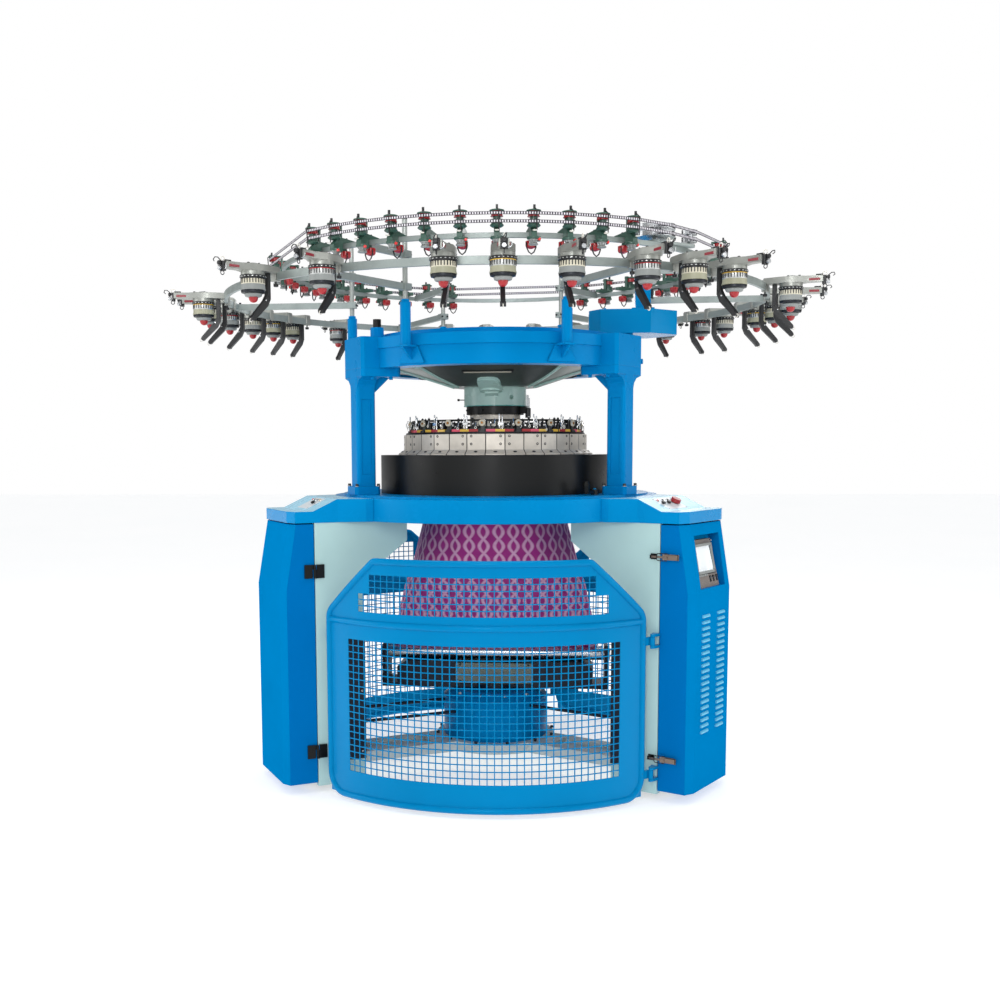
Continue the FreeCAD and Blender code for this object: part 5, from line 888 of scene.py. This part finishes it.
def storage_feeder(piece, angle, index):
    """One storage feeder: case on its ring clamp, slotted drum, knob, bow with eyelet, tensioner."""
    add, place = piece.add, at(angle, STORAGE_AXIS, RING_TOP)
    rim, band, body = DRUM_COLOURS[index * 7 % 4]
    waist = mirrored([(-104, -18), (-34, -40), (26, -40), (60, -21), (121, -17)])
    add(prism(waist, -6, 15), CAST, place)
    add(prism([(x * 0.985, y * 0.92) for x, y in waist], 15, 18), CAST, place)
    add(prism(oval(44, 41), -20, -6), CAST, place)
    add(block((-104, -15, -30), (-88, 15, -6), 2), CAST, place)
    piece.turn(place, (28, BLACK, (45, -20), (47, -22), (47, -29), (44, -31)))
    for turn in even(20):
        add(block((46, -2.6, -27.4), (47.6, 2.6, -24.6)), ALUMINIUM, place @ at(turn, 0))
    piece.turn(place, (28, rim, (42, -30), (43.5, -31), (43.5, -34)),
               (28, band, (43, -34), (43.5, -50), (42.5, -52)))
    for turn in even(26):
        add(block((42, -1.7, -49), (44.3, 1.7, -34)), BLACK, place @ at(turn, 0))
    piece.turn(place, (28, body, (42.5, -52), (43, -64), (45, -70), (45, -72), (41, -73)),
               (28, GUNMETAL, (43, -72.5), (44, -75), (42, -82), (34, -84)),
               (24, GREY, (31, -84), (32, -86), (29, -94), (24, -96)),
               (20, RED, (17, -95), (17, -99), (15, -107), (10, -113), (4, -115.5)))
    bow = [(-70, -6), (-53, -6), (-53, -84), (-42, -104), (10, -163), (13, -172), (7, -179), (-3, -176),
           (-58, -124), (-70, -98)]
    add(prism(bow, -8, 8), BLACK, place @ UPRIGHT)
    add(prism([(-67, -10), (-56, -10), (-56, -84), (-66, -94)], -10, 10), BLACK, place @ UPRIGHT)
    piece.turn(place @ shift(4, 0, -171) @ ACROSS, (16, BLACK, (9, -10), (9, 10)))
    add(hoop(6, 1.6, 14, 6), CERAMIC, place @ shift(12, 0, -178) @ ACROSS)
    piece.turn(place @ shift(-48, 0, -104) @ ACROSS, (8, STEEL, (3, -11), (3, 11)))
    for side in (-1, 1):
        near, far = sorted((side * 16, side * 20.4))
        add(block((60, near, -1), (110, far, 8), 1), DARK_RED, place)
        add(cap_screw(3), GUNMETAL, place @ shift(-8, side * 28, 18))
        piece.turn(place @ shift(34, side * 24, 18), (12, BLACK, (5, 0), (5, 3), (3, 4)))
    piece.turn(place, (24, GREY, (22, 18), (22, 21), (18, 23)))
    nose = place @ shift(123, 0, -2)
    add(block((-6, -12, -14), (9, 12, 20), 3), BLACK, nose)
    add(block((-30, -8, 17), (-4, 8, 26), 2), BLACK, nose)
    for rise, finish in ((-4, STEEL), (13, BLACK)):
        piece.turn(nose @ shift(9, 0, rise) @ OUTWARD,
                   (14, finish, (4, 0), (4, 3), (8, 4), (8, 11), (6, 13)))
    add(hoop(8, 1.8, 16, 6), CERAMIC, nose @ shift(2, 0, 28) @ ACROSS)
    add(hoop(7, 1.6, 14, 6), BLACK, nose @ shift(4, 0, -20) @ ACROSS)
    add(hoop(11, 1.6, 12, 5, -120, 120), CHROME, nose @ shift(4, 14, 2) @ OUTWARD)
    add(sweep([(9, 5, 16), (26, 7, 30), (36, 5, 30), (40, 0, 22), (34, -4, 17)], 1.8, 6), BLACK, nose)
    clamp = place @ shift(-99, 0, -14)
    add(block((-12, -15, -18), (12, 15, 26), 3), CAST, clamp)
    piece.turn(clamp @ lift(-18) @ DOWN, (16, BLACK, (3, 0), (3, 8), (9, 9), (9, 17), (7, 19)))


def positive_feeder(piece, angle):
    """One positive feeder: bracket on the ring, capped toothed pulleys, yarn wheel, lamp, stop wires."""
    add, place, ring = piece.add, at(angle, PULLEY_CIRCLE), INNER_TOP
    high, low = BELT_HEIGHTS
    clamp = [(-100, ring), (-34, ring), (-34, ring - 24), (14, ring - 24), (14, ring - 8), (-4, ring + 10),
             (-30, ring + 20), (-100, ring + 14)]
    add(prism(clamp, -10, 10), GREEN, place @ UPRIGHT)
    web = [(-34, ring + 8), (-26, ring + 8), (-26, high + 14), (-34, high + 10)]
    add(prism(web, -6, 6), GREEN, place @ UPRIGHT)
    arm = [(-34, high + 8), (12, high + 10), (12, high + 15), (-34, high + 16)]
    add(prism(arm, -7, 7), GREEN, place @ UPRIGHT)
    for height, finish in ((high, RED), (low, GREEN)):
        piece.turn(place @ lift(height),
                   (20, finish, (22.6, -9), (22.6, -7.4), (20, -6), (20, 6), (22.6, 7.4), (22.6, 9)))
    piece.turn(place @ lift(high), (22, GREEN, (26, 8), (27, 10), (26, 13), (20, 15), (8, 17), (4, 17)))
    piece.turn(place @ lift(low), (20, GREEN, (17, -6), (24, -9.3), (25, -12), (20, -16), (16, -18)),
               (16, GREEN, (13, 9), (13, 19)))
    wheel = place @ shift(-8, 0, ring - 24)
    piece.turn(wheel, (22, GREEN, (21, 4), (23, 2), (23, -4), (19, -6)),
               (20, GREY, (17, -6), (17, -9), (12, -12), (12, -19), (17, -22), (17, -25), (14, -26)))
    for turn in even(8):
        rib = [polar(17, turn, -7), polar(12.6, turn, -15), polar(16.5, turn, -24)]
        add(sweep(rib, 1.2, 5), STEEL, wheel)
    piece.turn(wheel @ shift(-50), (20, RED, (15, -2), (19, -4), (19, -20), (16, -26), (6, -30)))
    add(block((-50, -8, -1), (0, 8, 6), 3), GREEN, wheel)
    piece.turn(wheel @ shift(6, 20, -6) @ OUTWARD, (12, LAMP_RED, (5.5, 0), (5.5, 6), (3, 9)))
    add(block((-10, 14, -12), (8, 25, 4), 2), GREEN, wheel)
    loop = [(-40, -16, -10), (-40, -17, -26), (-38, -10, -42), (-38, 0, -50), (-38, 10, -42), (-40, 17, -26),
            (-40, 16, -10)]
    add(sweep(loop, 2.6, 6), BLACK, wheel)
    add(hoop(7, 1.8, 12, 5), CERAMIC, place @ shift(26, 0, ring - 4))
    wire = [(0, 0, high + 14), (20, 0, high + 20), (30, 6, high + 8), (27, 7, low - 10), (26, 7, ring - 4)]
    add(sweep(wire, 2.2, 6), BLACK, place)
    add(block((10, -4, high + 14), (17, 4, high + 30), 1), BLACK, place)
    add(cap_screw(4), GUNMETAL, place @ shift(-62, 0, ring + 17))
    piece.turn(place @ shift(-60, 0, ring - 18) @ DOWN,
               (14, BLACK, (4, 0), (4, 8), (10, 9), (10, 18), (8, 20)))


def creel_feeders():
    storage = Piece("storage_feeders")
    for index, angle in enumerate(STORAGE_ANGLES):
        storage_feeder(storage, angle, index)
    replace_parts(storage.build(), "storage_drums", "storage_arms", "storage_housings")
    positive = Piece("positive_feeders")
    for angle in FEEDER_ANGLES:
        positive_feeder(positive, angle)
    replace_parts(positive.build(), "feeder_pulleys", "feeder_bodies")


def creel_fittings():
    """Clamp screws, collars and caps of the posts, screws of the rings, fittings of the drive box."""
    piece = Piece("creel_fittings")
    for angle, radius in POSTS:
        piece.turn(at(angle, radius, 2260), (18, BLACK, (10.4, 0), (10.4, 3), (8, 6)))
        for height in (2003, 2127):
            for across in (-13, 13):
                piece.add(cap_screw(4), GUNMETAL, at(angle, radius - 19, height, across) @ INWARD)
        piece.turn(at(angle, radius, 1943), (20, BLUE_CAST, (12, 0), (16, 3), (16, 12), (12, 14)))
    for angle in (-120, -60, 180, 60, 120, 0):
        for height, radius in ((2003, 1130), (2127, 890)):
            piece.add(cap_screw(5), GUNMETAL, at(angle, radius, height + 13))
    for along, across in ((470, -100), (470, 100), (640, -100), (640, 100), (740, 0)):
        piece.add(cap_screw(5), BLUE_CAST, at(0, along, 1955, across))
    piece.add(block((668, -22, 2010), (676, 22, 2050), 3), BLACK)
    piece.add(hoop(24, 3, 18, 6, -150, 150), BLACK, at(0, 690, 2030) @ ACROSS)
    piece.build()


# ---------------------------------------------------------------- take-down, legs and panel

LID_SLOPE = atan2(47.0, 101.0)
SCREEN_LOW, SCREEN_HIGH, SCREEN_LEFT, SCREEN_RIGHT = 895.0, 993.0, -80.0, 66.0
LOUVRE_LOW, LOUVRE_PITCH, LOUVRE_COUNT, LOUVRE_HALF = 268.0, 24.0, 20, 33
HOOD_OUTER = [(1028, 8.5), (1030.4, 8.2), (1033.6, 5.5), (1034.8, 1.5), (1034.6, -2.5)]
HOOD_INNER = [(1033.4, -2.5), (1033.2, 1.4), (1032, 4.8), (1029.6, 7.2), (1028, 7.4)]


def takedown_fittings():
    """Bolts, roller gears and cover screws of the rotating take-down."""
    piece = Piece("takedown_fittings", "takedown")
    for side in (0, 180):
        for across in (-70, 70):
            for height in (356, 420):
                piece.add(hex_bolt(6), STEEL, at(side, 496, height, across) @ OUTWARD)
            for radius in (240, 360):
                piece.add(hex_bolt(6), STEEL, at(side, radius, 445, across))
        for across in (-28, 28):
            piece.turn(at(side, 497, 474, across) @ OUTWARD,
                       (24, STEEL, (30, 0), (30, 9), (26, 11), (12, 11), (10, 5)))
    for turn in (-90, 90):
        for along in (-150, 0, 150):
            for height in (356, 430):
                piece.add(cap_screw(4), GUNMETAL, at(turn, 84, height, along) @ OUTWARD)
    piece.build()


def lid_plate(piece, slope, y0, y1):
    """A blank plate on a leg's lid between two places across, with corner rivets and four lamps."""
    x0, x1 = 8, 98
    piece.add(block((x0, y0, -1), (x1, y1, 0.22), 5), PLATE, slope)
    for x in (x0 + 6, x1 - 6):
        for y in (y0 + 6, y1 - 6):
            piece.turn(slope @ shift(x, y), (10, STEEL, (2.6, 0.2), (2.4, 1.4), (1.2, 1.9)))
    for k, finish in enumerate((LAMP_RED, DARK_GREEN, BLACK, YELLOW)):
        piece.turn(slope @ shift(x0 + 20, y0 + 20 + k * (y1 - y0 - 40) / 3, 0.2),
                   (16, CHROME, (6.4, 0), (6.4, 2), (5.2, 3), (5.0, 2.6)),
                   (14, finish, (4.8, 0), (4.8, 3), (3.4, 5), (1.0, 6)))


def leg_fittings():
    """Dark navy sheets on the leg flanks as painted shade, panel screws, foot nuts, plates with lamps on the
    lids, bolts round the gear case.
    """
    piece = Piece("leg_fittings")
    for angle in LEGS.values():
        for side in (-1, 1):
            low, high = sorted((side * 200.2, side * 201.8))
            # painted shade: dark navy sheets on the leg flanks behind the doors
            piece.add(block((688, low, 118), (838, high, 700)), NAVY, at(angle, 0))
            for height in (150, 400, 660):
                turn = Matrix.Rotation(-side * pi / 2, 4, "X")
                piece.add(cap_screw(4), STEEL, at(angle, 705, height, side * 201.6) @ turn)
        for across in (-120, 120):
            piece.turn(at(angle, 905, 26, across), (20, STEEL, (30, 0), (30, 10), (16, 14), (16, 40)))
    for name, near, far in (("left", -52, 84), ("right", -104, 66)):
        lid_plate(piece, at(LEGS[name], 798, BED_TOP) @ Matrix.Rotation(LID_SLOPE, 4, "Y"), near, far)
    for angle in even(12, 15):
        piece.add(hex_bolt(7), STEEL, at(angle, 205, 311))
        piece.add(cap_screw(7), GUNMETAL, at(angle, 260, 116))
    piece.build()


def face_back(height):
    """Radius of the recess floor behind the instrument case at a height."""
    above = max(0.0, height - CASE_LOW)
    return CASE_FACE - CASE_LEAN * above / (CASE_HIGH - CASE_LOW) - CASE_DEPTH


def panel_fittings():
    """Bezel, keys and switch frames of the instrument case, its screws, and pressed louvre hoods."""
    piece = Piece("panel_fittings", "cover_right")
    place = at(LEGS["right"], 0)

    def slab(low, high, near, far, start, end, finish):
        outline = [(face_back(low) + near, low), (face_back(low) + far, low), (face_back(high) + far, high),
                   (face_back(high) + near, high)]
        piece.add(prism(outline, -end, -start), finish, place @ UPRIGHT)

    low, high, left, right = SCREEN_LOW, SCREEN_HIGH, SCREEN_LEFT, SCREEN_RIGHT
    for a, b, c, d in ((low - 9, low + 1, left - 9, right + 9), (high - 1, high + 9, left - 9, right + 9),
                       (low - 9, high + 9, left - 9, left + 1), (low - 9, high + 9, right - 1, right + 9)):
        slab(a, b, 26, 31, c, d, GREY)
    # painted shade: black strips below and left of the bezel for its shadow
    for a, b, c, d in ((low - 13, low - 9, left - 13, right + 13),
                       (low - 13, high + 12, left - 13, left - 9)):
        slab(a, b, 24, 29, c, d, BLACK)
    for k in range(5):
        slab(877, 884, 26, 31.5, -84 + 17 * k, -72 + 17 * k, GREY)
    for across in (20, 50, 80):
        slab(849, 877, 20.5, 27.5, across - 13.5, across - 9.8, BLACK)
        slab(849, 877, 20.5, 27.5, across + 9.8, across + 13.5, BLACK)
    for height in (842, 1009):
        for across in (-96, 84):
            piece.turn(place @ shift(face_back(height) + 17, across, height) @ OUTWARD,
                       (12, STEEL, (4, 0), (4, 9), (3, 11), (1, 11)))
    for across in (-72.0, 72.0):
        for k in range(LOUVRE_COUNT):
            hood = [(x, LOUVRE_LOW + LOUVRE_PITCH * k + rise) for x, rise in HOOD_OUTER + HOOD_INNER]
            cheek = hood[:5] + [(1028, hood[5][1])]
            for outline, middle, half in ((hood, 0, LOUVRE_HALF), (cheek, -LOUVRE_HALF, 0.8),
                                          (cheek, LOUVRE_HALF, 0.8)):
                form = prism(outline, -across + middle - half, -across + middle + half)
                # painted highlight: the hoods take the light blue paint
                piece.add(form, BLUE_LOUVRE_HIGHLIGHT, place @ UPRIGHT)
    piece.build()


# ---------------------------------------------------------------- cloth

CLOTH_LEVELS = ((1425.7, 313.7, 312.7), (1108.0, 313.7, 312.7), (1043.0, 322.0, 304.0),
                (893.0, 362.0, 236.0), (780.0, 402.0, 150.0), (640.0, 434.0, 66.0), (497.5, 452.0, 3.0))
CLOTH_TOP, CLOTH_BOTTOM, CLOTH_GIRTH = 1425.0, 498.0, 2.05
CLOTH_COLUMNS, CLOTH_ROWS = 216, 120
GATHER_TOP, GATHER_FADE = 1120, 160
CALM_BOTTOM, CALM_FADE = 520, 200
SEAM_RUN = 0.2


def cloth_size(height):
    """Half width and half depth of the cloth tube at a height, eased between its levels."""
    for (top, w0, d0), (low, w1, d1) in zip(CLOTH_LEVELS, CLOTH_LEVELS[1:]):
        if height >= low:
            share = (top - height) / (top - low)
            return w0 + (w1 - w0) * share, d0 + (d1 - d0) * share


def on_tube(run, flat, depth):
    """Place and outward way of a point of the tube's flattened section, run along it from the front."""
    bend = pi * depth
    if run < 2 * flat:
        return flat - run, -depth, 0.0, -1.0
    if 2 * flat + bend <= run < 4 * flat + bend:
        return -flat + run - 2 * flat - bend, depth, 0.0, 1.0
    left = run < 2 * flat + bend
    turn = (run - 2 * flat) / depth if left else (run - 4 * flat - bend) / depth
    nx, ny = (-sin(turn), -cos(turn)) if left else (sin(turn), cos(turn))
    return (-flat if left else flat) + depth * nx, depth * ny, nx, ny


def folds(share, height):
    """How far the cloth is pushed out: gathers below the cylinder that calm down toward the rollers."""
    begun = max(0.0, min(1.0, (GATHER_TOP - height) / GATHER_FADE))
    below = begun * max(0.0, min(1.0, (height - CALM_BOTTOM) / CALM_FADE))
    wave = (sin(share * 14 + 2.0 * sin(share * 3)) + 0.6 * sin(share * 23 + height * 0.004)
            + 0.5 * sin(share * 5 - height * 0.011))
    return 3.2 * below * wave - 2.5 * below


def cloth_tube():
    """The knitted tube, with its courses and wales laid out on a texture map in metres."""
    corners, marks = [], []
    for row in range(CLOTH_ROWS + 1):
        height = CLOTH_TOP + (CLOTH_BOTTOM - CLOTH_TOP) * row / CLOTH_ROWS
        width, depth = cloth_size(height)
        flat = width - depth
        total = 4 * flat + TAU * depth
        for k in range(CLOTH_COLUMNS):
            x, y, nx, ny = on_tube((total * k / CLOTH_COLUMNS + flat) % total, flat, depth)
            push = folds(k / CLOTH_COLUMNS * TAU, height)
            corners.append(Vector((x + nx * push, y + ny * push, height)) * MM)
            marks.append((k / CLOTH_COLUMNS * CLOTH_GIRTH, height * MM))
    mesh = bpy.data.meshes.new("knitted_tube")
    mesh.from_pydata(corners, [], skin(CLOTH_ROWS, CLOTH_COLUMNS))
    layer = mesh.uv_layers.new(name="courses")
    for polygon in mesh.polygons:
        for loop in polygon.loop_indices:
            u, v = marks[mesh.loops[loop].vertex_index]
            if u < SEAM_RUN and polygon.index % CLOTH_COLUMNS == CLOTH_COLUMNS - 1:
                u += CLOTH_GIRTH
            layer.data[loop].uv = (u, v)
    mesh.polygons.foreach_set("use_smooth", [True] * len(mesh.polygons))
    mesh.materials.append(CLOTH)
    tube = new_object("knitted_tube", mesh)
    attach(tube, "cylinder")
    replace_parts(tube, "fabric_tube")


# ---------------------------------------------------------------- everything in place

for node, angle in DOORS.items():
    guard_door(node, angle)
cam_ring()
yarn_guides()
dial_fittings()
bridge_fittings()
creel_feeders()
creel_fittings()
takedown_fittings()
leg_fittings()
panel_fittings()
latch_bails()
cloth_tube()


# ---------------------------------------------------------------- stage

FLOOR_HALF, FLOOR_DROP = 30, 0.0005
STUDIO_WHITE = (0.97, 0.985, 1.0, 1.0)
REAR_SHARE = 0.45
CAMERA_PLACE = (0.3356, -5.0635, 1.3745)
CAMERA_AXES = ((0.99518, 0.09793, -0.00449), (-0.0058, 0.10452, 0.99451), (0.09786, -0.98969, 0.10459))
SENSOR, FOCAL_PIXELS, PICTURE_PIXELS = 36.0, 1149.18, 1000
CENTRE_X, CENTRE_Y = 0.4583, 0.570


def floor():
    mesh = bpy.data.meshes.new("floor")
    corners = [(x * FLOOR_HALF, y * FLOOR_HALF, 0) for x, y in ((-1, -1), (1, -1), (1, 1), (-1, 1))]
    mesh.from_pydata(corners, [], [(0, 1, 2, 3)])
    plane = new_object("floor", mesh)
    plane.location.z = CAD_BOX[0].z - FLOOR_DROP
    s = Shader("studio_floor")
    colour = s.ramp(s.noise(0.6), (0.3, (0.6, 0.61, 0.615)), (0.7, (0.63, 0.63, 0.63)))
    rough = s.spread(s.noise(3.0), 0.55, 0.7)
    mesh.materials.append(s.set(Base_Color=colour, Roughness=rough, Emission_Color=(1.0, 1.0, 1.0, 1.0),
                                Emission_Strength=0.55, Specular_IOR_Level=0.05))


def lamp(name, place, target_height, size, power):
    light = bpy.data.lights.new(name, "AREA")
    light.shape = "RECTANGLE"
    light.size, light.size_y = size
    light.energy = power
    holder = new_object(name, light)
    holder.location = place
    away = Vector(place) - Vector((0, 0, target_height))
    holder.rotation_euler = away.to_track_quat("Z", "Y").to_euler()


def sky():
    """White to the camera, soft light to the rest, and a brighter front and back wall for gloss."""
    world = bpy.data.worlds.new("studio")
    world.use_nodes = True
    s = Nodes(world.node_tree)
    soft = s.tree.nodes["Background"]
    s.feed(soft.inputs["Color"], STUDIO_WHITE)
    s.feed(soft.inputs["Strength"], 0.72)
    seen = s.node("Background", Strength=1.0, Color=(1.0, 1.0, 1.0, 1.0))
    way = s.node("TexCoord").outputs["Generated"]
    along = s.node("SeparateXYZ", Vector=way).outputs["Y"]
    facing = s.math("MAXIMUM", s.times(along, -1.0), s.times(along, REAR_SHARE))
    wall = s.node("MapRange", From_Min=0.3, From_Max=0.97, To_Min=0.1, To_Max=1.5, Value=facing)
    mirrored_wall = s.node("Background", Color=STUDIO_WHITE, Strength=wall.outputs["Result"])
    rays = s.node("LightPath").outputs
    light = soft
    for ray, other in (("Is Glossy Ray", mirrored_wall), ("Is Camera Ray", seen)):
        choice = s.node("MixShader", Fac=rays[ray])
        s.feed(choice.inputs[1], light.outputs[0])
        s.feed(choice.inputs[2], other.outputs[0])
        light = choice
    s.feed(s.tree.nodes["World Output"].inputs["Surface"], light.outputs[0])
    bpy.context.scene.world = world


def camera():
    """The photograph's view: place, axes and focal length are fitted values."""
    data = bpy.data.cameras.new("camera")
    data.sensor_width = SENSOR
    data.lens = FOCAL_PIXELS / PICTURE_PIXELS * SENSOR
    data.shift_x = 0.5 - CENTRE_X
    data.shift_y = CENTRE_Y - 0.5
    data.clip_end = 100.0
    holder = new_object("camera", data)
    holder.matrix_world = Matrix.Translation(CAMERA_PLACE) @ Matrix(CAMERA_AXES).transposed().to_4x4()
    bpy.context.scene.camera = holder


floor()
sky()
lamp("left", (-5.0, -1.5, 2.4), 1.1, (3.0, 3.0), 60)
lamp("right", (5.0, -1.5, 2.4), 1.1, (3.0, 3.0), 55)
lamp("top", (0, -0.5, 5.5), 1.0, (3.5, 3.0), 105)
lamp("front", (-0.2, -6.0, 2.9), 1.3, (0.9, 2.6), 70)
lamp("back", (1.0, 5.5, 3.5), 1.3, (3.0, 3.0), 60)
bpy.context.scene.view_settings.view_transform = "Standard"
camera()
